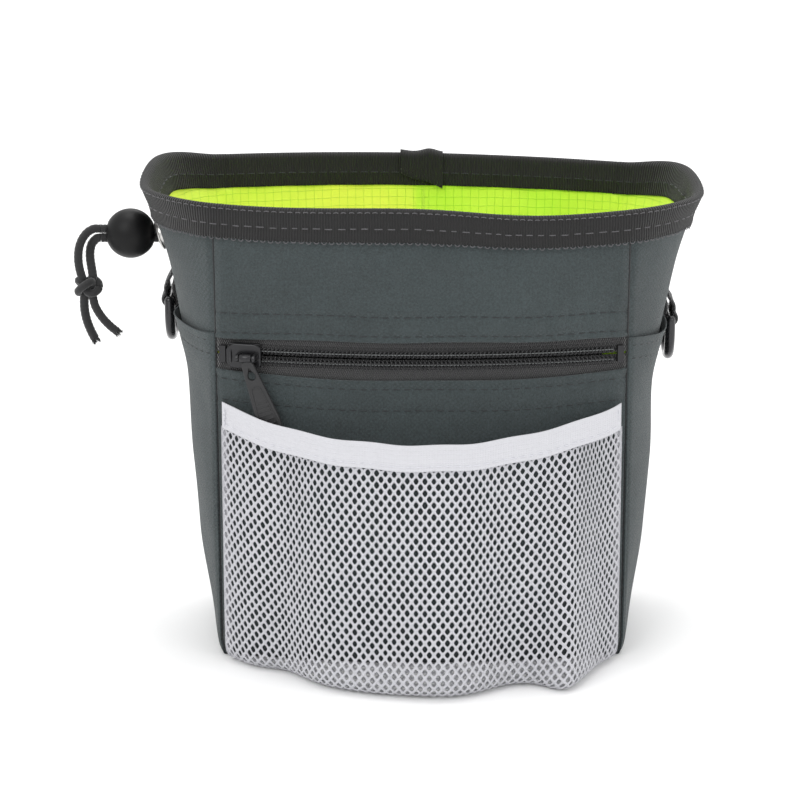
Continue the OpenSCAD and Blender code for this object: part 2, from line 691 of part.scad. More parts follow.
// D-ring hanging from its bar, in a plane along the gusset; side is -1 left and 1 right
module d_ring(side, z) {
    w = ring_w / 2 + rod_r;
    leg = ring_h - ring_rod - w;
    translate([side * (gusset_x(ring_y, z) + ring_off), ring_y, z]) {
        translate([0, -w, 0]) rotate([-90, 0, 0]) cylinder(r = rod_r, h = 2 * w);
        for (end = [-1, 1])
            translate([0, end * w, 0]) {
                sphere(r = rod_r);
                translate([0, 0, -leg]) cylinder(r = rod_r, h = leg);
            }
        translate([0, 0, -leg]) rotate([0, 90, 0]) rotate([0, 0, -90])
            rotate_extrude(angle = 180)
                translate([w, 0]) circle(r = rod_r);
    }
}

module d_ring_left() {
    color([0.08, 0.08, 0.085]) d_ring(-1, ring_z_left);
}

module d_ring_right() {
    color([0.08, 0.08, 0.085]) d_ring(1, ring_z_right);
}

// Webbing tab: sewn flat on the gusset, then folded round the ring's bar
module ring_tab(side, z) {
    half = ring_w / 2 - run_gap;
    bar_x = gusset_x(ring_y, z) + ring_off;
    loop_r = rod_r + pin_gap;
    low = z + loop_r + 0.3;
    zs = [tab_top, tab_top - tab_sewn, tab_top - tab_sewn - 6, low + 5, low];
    ys = [for (i = [0 : 4]) ring_y - half + half * i / 2];
    function free_part(h) = max(0, min(1, (tab_top - tab_sewn - h) / (tab_top - tab_sewn - low)));
    function place(y, h, skin) = let (s = free_part(h))
        [(1 - s) * (gusset_x(y, h) + tab_gap + skin * 2 * webbing_t)
            + s * (bar_x + (2 * skin - 1) * webbing_t), y, h];
    color([0.09, 0.09, 0.095]) mirror([side < 0 ? 1 : 0, 0, 0]) {
        sheet([for (h = [zs[4], zs[3], zs[2], zs[1], zs[0]]) [for (y = ys) place(y, h, 1)]],
              [for (h = [zs[4], zs[3], zs[2], zs[1], zs[0]]) [for (y = ys) place(y, h, 0)]]);
        translate([bar_x, ring_y - half, z]) rotate([-90, 0, 0]) difference() {
            cylinder(r = loop_r + webbing_t, h = 2 * half);
            translate([0, 0, -1]) cylinder(r = loop_r, h = 2 * half + 2);
        }
    }
}

module ring_tab_left() {
    ring_tab(-1, ring_z_left);
}

module ring_tab_right() {
    ring_tab(1, ring_z_right);
}

// Webbing loop on the back: two sewn feet and a strap that stands off the bag
module belt_loop() {
    y0 = back_y + sew_gap;
    y1 = loop_y;
    y2 = loop_y + loop_t;
    top = loop_lo + loop_h;
    color([0.09, 0.09, 0.095]) difference() {
        translate([-loop_w / 2, 0, 0]) rotate([90, 0, 90]) linear_extrude(loop_w)
            polygon([[y0, loop_lo - foot_h], [y0 + loop_t, loop_lo - foot_h], [y0 + loop_t, loop_lo - 1.5],
                [y2, loop_lo + 2.5], [y2, top - 2.5], [y0 + loop_t, top + 1.5], [y0 + loop_t, top + foot_h],
                [y0, top + foot_h], [y0, top], [y1, top - 3.2], [y1, loop_lo + 3.2], [y0, loop_lo]]);
        rivet_holes();
    }
}

module belt_clip_plate() {
    color([0.62, 0.63, 0.65]) difference() {
        translate([-clip_w / 2, clip_y, clip_top - clip_plate]) cube([clip_w, clip_t, clip_plate]);
        rivet_holes();
    }
}

module rivet_places() {
    for (side = [-1, 1], drop = rivet_drops)
        translate([side * rivet_x, 0, clip_top - drop]) rotate([-90, 0, 0]) children();
}

module rivet_holes() {
    rivet_places() translate([0, 0, clip_y - 4]) cylinder(r = 1.55, h = 8);
}

// Bend of the clip over its top, part of one strip with the plate and the tongue
module belt_clip_bend() {
    color([0.62, 0.63, 0.65]) translate([-clip_w / 2, clip_y + clip_t + bend_r, clip_top])
        rotate([90, 0, 90]) rotate_extrude(angle = 180)
            translate([bend_r, 0]) square([clip_t, clip_w]);
}

module belt_clip_tongue() {
    y = clip_y + clip_t + clip_gap;
    lip_r = 6;
    color([0.62, 0.63, 0.65]) {
        translate([-clip_w / 2, y, clip_top - clip_len]) cube([clip_w, clip_t, clip_len]);
        translate([-clip_w / 2, y + clip_t + lip_r, clip_top - clip_len]) rotate([90, 0, 90])
            rotate([0, 0, 180]) rotate_extrude(angle = 50)
                translate([lip_r, 0]) square([clip_t, clip_w]);
    }
}

module clip_rivets() {
    color([0.55, 0.56, 0.58]) rivet_places() {
        translate([0, 0, loop_y - 0.8]) cylinder(r = 1.5, h = 0.8 + loop_t + clip_t + 2 * sew_gap + 0.6);
        translate([0, 0, loop_y - 0.8]) cylinder(r = 2.6, h = 0.75);
        translate([0, 0, clip_y + clip_t + sew_gap]) cylinder(r = 2.6, h = 0.6);
    }
}

front_panel_lower();
front_panel_upper();
side_panel_left();
side_panel_right();
side_pocket_left();
side_pocket_right();
back_panel();
bottom_panel();
lining();
throat();
rim_binding();
binding_lap();
zip_tape_lower();
zip_tape_upper();
zip_coil_lower();
zip_coil_upper();
zip_stops();
zip_slider();
zip_pull_tab();
zip_pocket_bag();
mesh_pocket();
mesh_band();
drawstring_cord();
drawstring_ends();
cord_lock_shell();
cord_lock_button();
cord_lock_spring();
eyelet_face();
eyelet_washer();
d_ring_left();
d_ring_right();
ring_tab_left();
ring_tab_right();
belt_loop();
belt_clip_plate();
belt_clip_bend();
belt_clip_tongue();
clip_rivets();
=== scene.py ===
"""Treat pouch: cloth, mesh net, binding, zip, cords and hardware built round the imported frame."""
import math

import bmesh
import bpy
import numpy as np
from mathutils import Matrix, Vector


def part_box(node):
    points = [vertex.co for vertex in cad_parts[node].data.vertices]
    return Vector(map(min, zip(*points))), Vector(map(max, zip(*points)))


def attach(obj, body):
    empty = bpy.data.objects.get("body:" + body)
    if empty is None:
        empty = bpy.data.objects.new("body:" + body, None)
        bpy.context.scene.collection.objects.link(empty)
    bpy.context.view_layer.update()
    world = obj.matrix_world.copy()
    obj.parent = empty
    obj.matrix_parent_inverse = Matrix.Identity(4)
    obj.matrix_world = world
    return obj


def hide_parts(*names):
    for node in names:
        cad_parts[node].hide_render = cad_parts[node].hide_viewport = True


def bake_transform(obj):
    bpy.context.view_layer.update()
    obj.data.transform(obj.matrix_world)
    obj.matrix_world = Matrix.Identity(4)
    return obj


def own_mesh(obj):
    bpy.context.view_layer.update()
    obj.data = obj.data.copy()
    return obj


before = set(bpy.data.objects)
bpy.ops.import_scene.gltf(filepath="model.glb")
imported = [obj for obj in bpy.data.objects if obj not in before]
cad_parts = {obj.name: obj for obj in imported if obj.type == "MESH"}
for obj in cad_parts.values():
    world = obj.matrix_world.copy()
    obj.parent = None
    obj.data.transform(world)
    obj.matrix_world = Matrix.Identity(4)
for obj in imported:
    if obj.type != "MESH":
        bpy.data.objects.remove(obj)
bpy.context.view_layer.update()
rng = np.random.default_rng(7)
MM = 0.001

# ---- measures in millimetres, as the frame has them
HALF_W, HALF_D, HEIGHT = 70.0, 34.0, 160.0
BOW, RIM_BULGE, BASE_BULGE, SWELL = 9.5, 26.5, 2.0, 13.0
TUCK, TUCK_H = 3.0, 8.0
ZIP_Z, ZIP_WINDOW = 109.3, 10.7
ZIP_LO, ZIP_HI = ZIP_Z - ZIP_WINDOW / 2, ZIP_Z + ZIP_WINDOW / 2
FRONT_R = (HALF_W**2 + BOW**2) / (2 * BOW)
FRONT_CY = -HALF_D - BOW + FRONT_R
BINDING_H = 11.0
BINDING_T = 0.8
SLIP_LEFT, SLIP_RIGHT = 117.0, 114.0
EYELET_Z = 143.0
FRONT, RIGHT, BACK, LEFT = range(4)


# ---- the bag's surface
def smooth(a, b, x):
    """0 below a, 1 above b, with an even turn between them."""
    s = np.clip((np.asarray(x, float) - a) / (b - a), 0, 1)
    return s * s * (3 - 2 * s)


def hump(x, mid, width):
    """1 at mid, falling away evenly on both sides."""
    return np.exp(-(((x - mid) / width) ** 2))


def bulge(z):
    return BASE_BULGE + SWELL * z / HEIGHT + (RIM_BULGE - BASE_BULGE - SWELL) * (z / HEIGHT) ** 5


def tuck(z):
    return TUCK * (1 - np.sqrt(1 - (np.clip(TUCK_H - z, 0, TUCK_H) / TUCK_H) ** 2))


def corner(k, z, off):
    """Corner k of the bag's section at height z and inward offset off, and the size of its mitre."""
    f, s = 2 * math.atan(BOW / HALF_W), 2 * np.arctan(bulge(z) / HALF_D)
    d = 1 + math.sin(f) * np.cos(s) + math.cos(f) * np.sin(s)
    mx, my = (math.sin(f) + np.cos(s)) / d, (math.cos(f) + np.sin(s)) / d
    sx, sy = (-1 if k in (0, 3) else 1), (-1 if k < 2 else 1)
    return sx * (HALF_W - off * mx), sy * (HALF_D - off * my), mx, my


def wall(k, t, z, off):
    """Points of side k (0 front, 1 right, 2 back, 3 left), t from -1 to 1 along it, in mm."""
    t, z, off = np.broadcast_arrays(np.asarray(t, float), np.asarray(z, float), np.asarray(off, float))
    off = off + tuck(z)
    ax, ay, mx, my = corner(k, z, off)
    bx, by, _, _ = corner((k + 1) % 4, z, off)
    sag = np.maximum((BOW - off * (1 - my)) if k % 2 == 0 else (bulge(z) - off * (1 - mx)), 0.01)
    half = np.hypot(bx - ax, by - ay) / 2
    turn = 2 * np.arctan(sag / half)
    r = half / np.sin(turn)
    dx, dy = (bx - ax) / (2 * half), (by - ay) / (2 * half)
    along, out = r * np.sin(turn * t), r * (np.cos(turn * t) - np.cos(turn))
    return np.stack([(ax + bx) / 2 + dx * along + dy * out, (ay + by) / 2 + dy * along - dx * out, z], -1)


def ripple(x, y, z):
    """Soft unevenness of cloth, about -1 to 1."""
    return (0.5 * np.sin(x / 23 + 1.3 * np.sin(z / 31)) * np.cos(z / 19 + 0.7)
            + 0.3 * np.sin(x / 11 - z / 17 + 2.1 + y / 13) + 0.2 * np.cos(x / 7.1 + z / 9.3 - y / 8))


def cloth(k, t, z, off, soft=1.0):
    """The wall with the cloth's own shape: pulled in at the seams, slack between, rim not quite level."""
    base = wall(k, t, z, off)
    x, y = base[..., 0], base[..., 1]
    width = HALF_W if k % 2 == 0 else 40.0
    from_seam = (1 - np.abs(t)) * width
    calm = np.ones_like(z) if k != FRONT else np.clip(np.abs(z - ZIP_Z) / 14, 0.12, 1)
    slack = soft * calm * smooth(0, 9, from_seam) * smooth(0, 14, z)
    slack = slack * (0.35 + 0.65 * smooth(4, 30, HEIGHT - z))
    groove = 0.75 * hump(from_seam, 0, 1.5) * smooth(0, 4, z) * (1 - smooth(148, 150, z))
    push = 0.85 * slack * ripple(x, y, z) - groove
    if k == FRONT:
        upper = smooth(112, 120, z) * (1 - smooth(140, 152, z))
        push = push + 1.1 * upper * np.sin(x / 26 + 0.6) * np.cos(t * 1.5)
    if k in (LEFT, RIGHT):
        behind = -t if k == LEFT else t
        push = push + 3.0 * smooth(118, 156, z) * hump(behind, 0.55, 0.28)
        push = push + 2.6 * smooth(4, 40, z) * smooth(104, 66, z) * (1 - t**2)
        push = push - 0.6 * hump(t, 0, 0.3) * smooth(20, 60, z) * (1 - smooth(95, 125, z))
    pushed = wall(k, t, z, off - push)
    lean = smooth(122, 160, z)
    dip = 0.9 * hump(x, 32, 22) * (k == FRONT)
    dip = dip + 0.8 * np.sin(x / 17 + y / 29) * smooth(20, -10, y)
    back = lean * smooth(-12, 22, y) * (2.9 + 1.9 * smooth(72, 88, np.abs(x)))
    pushed[..., 2] = pushed[..., 2] - lean * (1.9 * x / 96 + dip) + back
    return pushed


# ---- meshes
def new_mesh(name, points, faces, uvs=None, flat=False):
    """A mesh object from points in mm. uvs is one pair in mm for every point."""
    mesh = bpy.data.meshes.new(name)
    mesh.from_pydata((np.asarray(points, float) * MM).tolist(), [], faces)
    mesh.validate()
    if uvs is not None:
        layer = mesh.uv_layers.new(name="cloth")
        index = np.empty(len(mesh.loops), dtype=np.int32)
        mesh.loops.foreach_get("vertex_index", index)
        layer.data.foreach_set("uv", np.asarray(uvs, np.float32)[index].ravel())
    mesh.polygons.foreach_set("use_smooth", [not flat] * len(mesh.polygons))
    mesh.update()
    obj = bpy.data.objects.new(name, mesh)
    bpy.context.scene.collection.objects.link(obj)
    return obj


def finish_piece(obj, material, body="pouch", replaces=()):
    if material is not None:
        obj.data.materials.clear()
        obj.data.materials.append(material)
    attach(obj, body)
    if replaces:
        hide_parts(*replaces)
    return obj


def grid_faces(rows, cols, loop, start=0, flip=False):
    faces = []
    for r in range(rows - 1):
        for c in range(cols if loop else cols - 1):
            d = (c + 1) % cols
            low, high = start + r * cols, start + (r + 1) * cols
            quad = (low + c, high + c, high + d, low + d)
            faces.append(quad if flip else quad[::-1])
    return faces


def sheet_mesh(name, outer, inner, loop=False, uvs=None):
    """A closed sheet between two grids of points [rows, cols, 3], rows going up and columns to the right."""
    rows, cols = outer.shape[:2]
    n = rows * cols
    faces = grid_faces(rows, cols, loop) + grid_faces(rows, cols, loop, n, True)
    for c in range(cols if loop else cols - 1):
        d = (c + 1) % cols
        top = (rows - 1) * cols
        faces.append((c, d, n + d, n + c)[::-1])
        faces.append((top + c, n + top + c, n + top + d, top + d)[::-1])
    if not loop:
        for r in range(rows - 1):
            a, b = r * cols, (r + 1) * cols
            faces.append((a, n + a, n + b, b)[::-1])
            e, f = a + cols - 1, b + cols - 1
            faces.append((e, f, n + f, n + e)[::-1])
    points = np.concatenate([outer.reshape(-1, 3), inner.reshape(-1, 3)])
    if uvs is not None:
        uvs = np.concatenate([uvs.reshape(-1, 2)] * 2)
    return new_mesh(name, points, faces, uvs)


def lengths(points, axis):
    """Running length along one axis of a grid of points."""
    step = np.linalg.norm(np.diff(points, axis=axis), axis=-1)
    pad = [(1, 0) if a == axis else (0, 0) for a in range(step.ndim)]
    return np.cumsum(np.pad(step, pad), axis=axis)


def sample(points, run, s):
    """Points at the running lengths s of a line of points whose own running lengths are run."""
    return np.stack([np.interp(s, run, points[:, i]) for i in range(3)], -1)


def cloth_uvs(points, loop=False):
    along = lengths(points, 1)
    if loop:
        along = np.broadcast_to(along[len(along) // 2], along.shape)
    return np.stack([along, lengths(points, 0)], -1)


def cut_size(rows):
    """Width round the ring and height of the flat cloth that a closed ring was cut from, in metres."""
    ring = np.concatenate([rows, rows[:, :1]], 1)
    return float(lengths(ring, 1)[:, -1].mean() * MM), float(lengths(rows, 0)[-1].mean() * MM)


def from_behind(sides, cols):
    """The four sides' columns as one ring that starts at the middle of the back."""
    return np.roll(np.concatenate(sides, 1), -(cols[0] + cols[1] + cols[2] // 2), axis=1)


def tube_mesh(name, path, radius, sides=8, closed=False, caps=True):
    """A tube of even or changing radius along a path of points in mm."""
    verts, faces = tube_parts(np.asarray(path, float), radius, sides, closed, caps)
    return new_mesh(name, verts, faces)


def tube_parts(path, radius, sides, closed=False, caps=True, start=0):
    n = len(path)
    if closed:
        ahead = np.roll(path, -1, 0) - np.roll(path, 1, 0)
    else:
        ahead = np.gradient(path, axis=0)
    ahead /= np.linalg.norm(ahead, axis=1)[:, None] + 1e-12
    side = np.cross(ahead[0], [0.13, 0.21, 1.0])
    side /= np.linalg.norm(side)
    radius = np.broadcast_to(radius, (n,))
    angle = np.arange(sides) * 2 * math.pi / sides
    verts = []
    for i in range(n):
        side = side - ahead[i] * (side @ ahead[i])
        side /= np.linalg.norm(side)
        up = np.cross(ahead[i], side)
        verts.append(path[i] + radius[i] * (np.outer(np.cos(angle), side) + np.outer(np.sin(angle), up)))
    faces = []
    for i in range(n if closed else n - 1):
        a, b = start + i * sides, start + ((i + 1) % n) * sides
        for j in range(sides):
            k = (j + 1) % sides
            faces.append((a + j, a + k, b + k, b + j))
    if caps and not closed:
        faces.append(tuple(start + j for j in reversed(range(sides))))
        faces.append(tuple(start + (n - 1) * sides + j for j in range(sides)))
    return np.concatenate(verts), faces


def threads(name, material, bits):
    """One mesh from many short threads, given as (path, radius, sides)."""
    verts, faces, count = [], [], 0
    for path, radius, sides in bits:
        v, f = tube_parts(path, radius, sides, start=count)
        verts.append(v)
        faces += f
        count += len(v)
    return finish_piece(new_mesh(name, np.concatenate(verts), faces), material)


def stitch_row(name, path, outward, material, stitch=3.0, gap=0.7, radius=0.2, proud=0.12):
    """Sewn stitches along a path of points: short threads that sink into the cloth at both ends."""
    path = np.asarray(path, float)
    outward = np.broadcast_to(np.asarray(outward, float), path.shape)
    run = lengths(path[None], 1)[0]
    lift = proud - (radius + 0.22) * np.abs(np.linspace(-1, 1, 6)) ** 3
    bits, at = [], 0.6
    while at + stitch < run[-1]:
        s = np.linspace(at, at + stitch, 6)
        bits.append((sample(path, run, s) + sample(outward, run, s) * lift[:, None], radius, 6))
        at += stitch + gap
    return threads(name, material, bits)


def cloth_stitches(name, k, t, z, off):
    path = cloth(k, t, z, off)
    stitch_row(name, path, cloth(k, t, z, off - 1) - path, DARK_THREAD)


# ---- materials
class Sum:
    """A value in a node tree that ordinary arithmetic works on."""

    def __init__(self, tree, socket):
        self.tree, self.socket = tree, socket

    def math(self, kind, *others):
        node = self.tree.nodes.new("ShaderNodeMath")
        node.operation = kind
        for slot_at, value in enumerate((self, *others)):
            if isinstance(value, Sum):
                self.tree.links.new(value.socket, node.inputs[slot_at])
            else:
                node.inputs[slot_at].default_value = value
        return Sum(self.tree, node.outputs[0])

    def __add__(self, other):
        return self.math("ADD", other)

    def __sub__(self, other):
        return self.math("SUBTRACT", other)

    def __mul__(self, other):
        return self.math("MULTIPLY", other)

    def wave(self, pitch):
        """A sine of this length along the value, from -1 to 1."""
        return (self * (2 * math.pi / pitch)).math("SINE")

    def size(self):
        return self.math("ABSOLUTE")

    def above(self, a, b):
        node = self.tree.nodes.new("ShaderNodeMapRange")
        node.interpolation_type = "SMOOTHSTEP"
        self.tree.links.new(self.socket, node.inputs["Value"])
        node.inputs["From Min"].default_value = a
        node.inputs["From Max"].default_value = b
        return Sum(self.tree, node.outputs["Result"])


class Look:
    """A material being made: a Principled shader with the named inputs, and helpers for its patterns."""

    def __init__(self, name, colour, roughness, **inputs):
        self.material = bpy.data.materials.new(name)
        self.material.use_nodes = True
        self.tree = self.material.node_tree
        self.shader = self.tree.nodes["Principled BSDF"]
        self.colour = (*colour, 1)
        self.shader.inputs["Base Color"].default_value = self.colour
        self.shader.inputs["Roughness"].default_value = roughness
        for key, value in inputs.items():
            self.shader.inputs[key.replace("_", " ")].default_value = value
        self.material.diffuse_color = self.colour

    def coords(self, kind="Object"):
        node = self.tree.nodes.new("ShaderNodeTexCoord")
        return node.outputs[kind]

    def uv(self):
        """The cloth's own coordinates, in mm."""
        split = self.tree.nodes.new("ShaderNodeSeparateXYZ")
        self.tree.links.new(self.coords("UV"), split.inputs[0])
        return Sum(self.tree, split.outputs[0]), Sum(self.tree, split.outputs[1])

    def across(self):
        """How far to the right a point of the object lies, in mm."""
        split = self.tree.nodes.new("ShaderNodeSeparateXYZ")
        self.tree.links.new(self.coords(), split.inputs[0])
        return Sum(self.tree, split.outputs[0]) * 1000

    def noise(self, per_metre, detail=3, rough=0.55):
        node = self.tree.nodes.new("ShaderNodeTexNoise")
        self.tree.links.new(self.coords(), node.inputs["Vector"])
        node.inputs["Scale"].default_value = per_metre
        node.inputs["Detail"].default_value = detail
        node.inputs["Roughness"].default_value = rough
        return Sum(self.tree, node.outputs["Fac"])

    def paint(self, factor, low, high):
        """Colours the surface from low to high as factor goes from 0 to 1."""
        mix = self.tree.nodes.new("ShaderNodeMix")
        mix.data_type = "RGBA"
        mix.inputs["A"].default_value = (*low, 1)
        mix.inputs["B"].default_value = (*high, 1)
        self.tree.links.new(factor.socket, mix.inputs["Factor"])
        self.tree.links.new(mix.outputs["Result"], self.shader.inputs["Base Color"])
        return self

    def gloss(self, factor, low, high):
        self.tree.links.new((factor * (high - low) + low).socket, self.shader.inputs["Roughness"])
        return self

    def relief(self, height, depth_mm):
        bump = self.tree.nodes.new("ShaderNodeBump")
        bump.inputs["Strength"].default_value = 1.0
        bump.inputs["Distance"].default_value = depth_mm * MM
        self.tree.links.new(height.socket, bump.inputs["Height"])
        self.tree.links.new(bump.outputs[0], self.shader.inputs["Normal"])
        return self


def tint(colour, by):
    return tuple(min(1.0, c * by) for c in colour)


def oxford_look():
    """Coated oxford cloth: a plain weave of thick and thin threads with soft patches of shade."""
    base = (0.029, 0.041, 0.043)
    look = Look("oxford", base, 0.72, Sheen_Weight=0.18, Sheen_Roughness=0.45)
    u, v = look.uv()
    slub = look.noise(420, 2) - 0.5
    speck = look.noise(1500, 2)
    warp, weft = (u + slub * 0.25).wave(0.92).size(), (v + slub * 0.25).wave(0.84).size()
    side = (u * 1.0).wave(1.84) * (v * 1.0).wave(1.68)
    weave = warp * side.above(-0.25, 0.25) + weft * (side * -1.0).above(-0.25, 0.25)
    patches = look.noise(38, 4) * 0.5 + (speck - 0.5) * 1.3
    shade = patches + weave * 0.42 + 0.02
    look.paint(shade, tint(base, 0.42), tint(base, 1.75))
    look.gloss(look.noise(160, 3), 0.60, 0.86)
    look.relief(weave + speck * 0.8, 0.22)
    return look.material


def ripstop_look():
    """Thin lime lining with a raised square grid every 3 mm, and painted light on its left side."""
    base = (0.47, 0.86, 0.012)
    look = Look("ripstop", base, 0.46, Sheen_Weight=0.2, Coat_Weight=0.06, Coat_Roughness=0.4)
    u, v = look.uv()
    lines = (u.wave(6.0).size() * -1.0 + 0.13).above(0, 0.1) + (v.wave(6.0).size() * -1.0 + 0.13).above(0, 0.1)
    threads = u.wave(0.5) * v.wave(0.5)
    patches = look.noise(26, 3)
    # Painted light: the lining is painted lighter where x is below -4 mm, on its left side, for light bouncing round
    # inside the bag.
    left = look.across().above(-1, -4) * 0.30
    look.paint(patches * 0.8 + lines * -0.25 + left, (0.40, 0.88, 0.014), (0.99, 0.99, 0.12))
    look.relief(lines + threads * 0.12 + look.noise(300, 3) * 0.8, 0.10)
    return look.material


def thread_look(name, base, rough=0.8, fuzz=1600, contrast=0.5):
    """Twisted thread or braid: fine fibres in slightly different shades."""
    look = Look(name, base, rough, Sheen_Weight=0.3, Sheen_Roughness=0.5)
    fibres = look.noise(fuzz, 3)
    look.paint(fibres, tint(base, 1 - contrast), tint(base, 1 + contrast))
    look.relief(fibres, 0.10)
    return look.material


def grosgrain_look(name="grosgrain", base=(0.0090, 0.0088, 0.0088)):
    look = Look(name, base, 0.82, Sheen_Weight=0.12, Sheen_Roughness=0.4)
    u, v = look.uv()
    fibres = look.noise(1500, 3)
    ribs = (u + look.noise(300, 2) * 0.2).wave(0.95)
    twill = (v + u * 0.5).wave(0.55) * 0.35
    shade = fibres * 0.7 + twill * 0.2 + ribs * 0.16 + look.noise(60, 3) * 0.4 - 0.1
    look.paint(shade, tint(base, 0.45), tint(base, 1.9))
    look.relief(ribs * 1.3 + fibres * 0.5 + twill * 0.4, 0.16)
    return look.material


def webbing_look(base=(0.013, 0.013, 0.014)):
    look = Look("webbing", base, 0.7, Sheen_Weight=0.4)
    u, v = look.uv()
    weave = (u + v * 0.5).wave(1.5).size() + (u - v * 0.5).wave(1.5).size()
    look.paint(weave * 0.35 + look.noise(900, 2) * 0.3, tint(base, 0.5), tint(base, 2.3))
    look.relief(weave + look.noise(1800, 2) * 0.5, 0.25)
    return look.material


def metal_look(name, base, rough, metallic=1.0, coat=0.0, scratches=0.25):
    look = Look(name, base, rough, Metallic=metallic, Coat_Weight=coat, Coat_Roughness=0.12)
    grain = look.noise(1900, 4)
    look.gloss(look.noise(240, 5), rough * 0.75, min(1.0, rough * 1.5 + 0.05))
    look.paint(look.noise(120, 3), tint(base, 1 - scratches), tint(base, 1 + scratches))
    look.relief(grain, 0.015)
    return look.material


def plastic_look(name, base, rough, grain_mm=0.03, shine=0.45):
    look = Look(name, base, rough, Specular_IOR_Level=shine)
    look.gloss(look.noise(300, 4), rough * 0.85, rough * 1.2)
    look.paint(look.noise(90, 3), tint(base, 0.8), tint(base, 1.3))
    look.relief(look.noise(2800, 3), grain_mm)
    return look.material


def mesh_look():
    """Knitted polyester net, white with a cool cast."""
    base = (0.62, 0.62, 0.66)
    look = Look("mesh", base, 0.62, Sheen_Weight=0.3)
    u, v = look.uv()
    knit = (u + v * 0.75).wave(0.42) + (u - v * 0.75).wave(0.42)
    look.paint(look.noise(900, 2) * 0.7 + knit * 0.1 + 0.15, tint(base, 0.86), tint(base, 1.08))
    look.relief(knit + look.noise(2600, 2), 0.05)
    return look.material


def elastic_look():
    base = (0.55, 0.55, 0.58)
    look = Look("elastic", base, 0.66, Sheen_Weight=0.3)
    u, v = look.uv()
    rows = u.wave(0.9) * 0.3 + v.wave(0.75) * 0.5
    look.paint(look.noise(700, 3) * 0.6 + rows * 0.05 + 0.2, tint(base, 0.90), tint(base, 1.06))
    look.relief(rows + look.noise(2000, 2) * 0.4, 0.05)
    return look.material


OXFORD = oxford_look()
RIPSTOP = ripstop_look()
GROSGRAIN = grosgrain_look()
LAP_TAPE = grosgrain_look("grosgrain_lap", (0.0072, 0.0070, 0.0070))
WEBBING = webbing_look()
MESH = mesh_look()
ELASTIC = elastic_look()
ZIP_TAPE = webbing_look((0.0085, 0.0085, 0.009))
ZIP_COIL = plastic_look("zip_coil", (0.014, 0.014, 0.015), 0.42)
DARK_THREAD = thread_look("dark_thread", (0.014, 0.017, 0.019))
# Near-black thread look, used only for the painted shade down the bag's corners.
SEAM_SHADE = thread_look("seam", (0.006, 0.007, 0.008))
GREY_THREAD = thread_look("grey_thread", (0.085, 0.082, 0.088))
WHITE_THREAD = thread_look("white_thread", (0.60, 0.60, 0.64), contrast=0.2)
DOT_THREAD = thread_look("zip_thread", (0.13, 0.14, 0.14))
CORD = thread_look("cord", (0.009, 0.009, 0.0095), 0.85, 1300, 0.7)
SLIDER_METAL = metal_look("slider_enamel", (0.018, 0.018, 0.02), 0.34, 0.6, 0.3)
PULL_RUBBER = plastic_look("pull_rubber", (0.017, 0.017, 0.018), 0.55)
LOCK_PLASTIC = plastic_look("lock_plastic", (0.0040, 0.0040, 0.0042), 0.44, shine=0.22)
RING_METAL = metal_look("ring_enamel", (0.022, 0.022, 0.024), 0.22, 0.75, 0.5)
NICKEL = metal_look("nickel", (0.62, 0.61, 0.59), 0.25)
SPRING_STEEL = metal_look("spring_steel", (0.36, 0.36, 0.37), 0.32)


# ---- camera, floor and light
def make_camera():
    elevation, distance, target = math.radians(16.2), 1.0, Vector((0, 0, 0.080))
    data = bpy.data.cameras.new("camera")
    camera = bpy.data.objects.new("camera", data)
    bpy.context.scene.collection.objects.link(camera)
    away = Vector((0, -math.cos(elevation), math.sin(elevation)))
    camera.location = target + away * distance
    camera.rotation_euler = (-away).to_track_quat("-Z", "Y").to_euler()
    data.lens = 127.8
    data.clip_end = 50
    data.shift_x, data.shift_y = -0.027, 0.010
    bpy.context.scene.camera = camera


def area_light(name, place, size, power, aim=(0, 0, 0.08)):
    data = bpy.data.lights.new(name, "AREA")
    data.shape = "RECTANGLE"
    data.size, data.size_y = size
    data.energy = power
    light = bpy.data.objects.new(name, data)
    light.location = place
    light.rotation_euler = (Vector(aim) - Vector(place)).to_track_quat("-Z", "Y").to_euler()
    bpy.context.scene.collection.objects.link(light)


def make_stage():
    corners = [(-6000, -6000, 0), (6000, -6000, 0), (6000, 6000, 0), (-6000, 6000, 0)]
    floor = new_mesh("floor", corners, [(0, 1, 2, 3)])
    look = Look("floor", (0.90, 0.90, 0.90), 0.85)
    look.paint(look.noise(3, 2), (0.885, 0.885, 0.885), (0.915, 0.915, 0.915))
    floor.data.materials.append(look.material)
    world = bpy.data.worlds.new("studio")
    world.use_nodes = True
    world.node_tree.nodes["Background"].inputs["Color"].default_value = (1.0, 1.0, 1.0, 1)
    world.node_tree.nodes["Background"].inputs["Strength"].default_value = 0.95
    bpy.context.scene.world = world
    area_light("key", (-0.75, -1.1, 1.25), (0.9, 0.9), 9)
    area_light("fill", (1.1, -0.9, 0.75), (0.9, 0.9), 3.5)
    area_light("top", (0.0, 0.25, 1.5), (1.1, 0.9), 9, (0, 0, 0.12))
    area_light("back", (0.2, 1.5, 0.9), (1.2, 0.8), 4)
    bpy.context.scene.view_settings.view_transform = "Standard"


make_camera()
make_stage()


# ---- outer cloth
def edge_round(distance, radius):
    """How far both skins draw in at this distance from a folded edge."""
    s = np.clip((radius - distance) / radius, 0, 1)
    return radius * (1 - np.sqrt(1 - s * s))


def dense(lo, hi, count, fine=0.6):
    """Heights from lo to hi, with a few extra rows close to both ends for a rounded edge."""
    rows = np.linspace(lo + fine, hi - fine, count)
    bits = fine * np.array([0, 0.08, 0.25, 0.55])
    return np.concatenate([lo + bits, rows, (hi - bits)[::-1]])


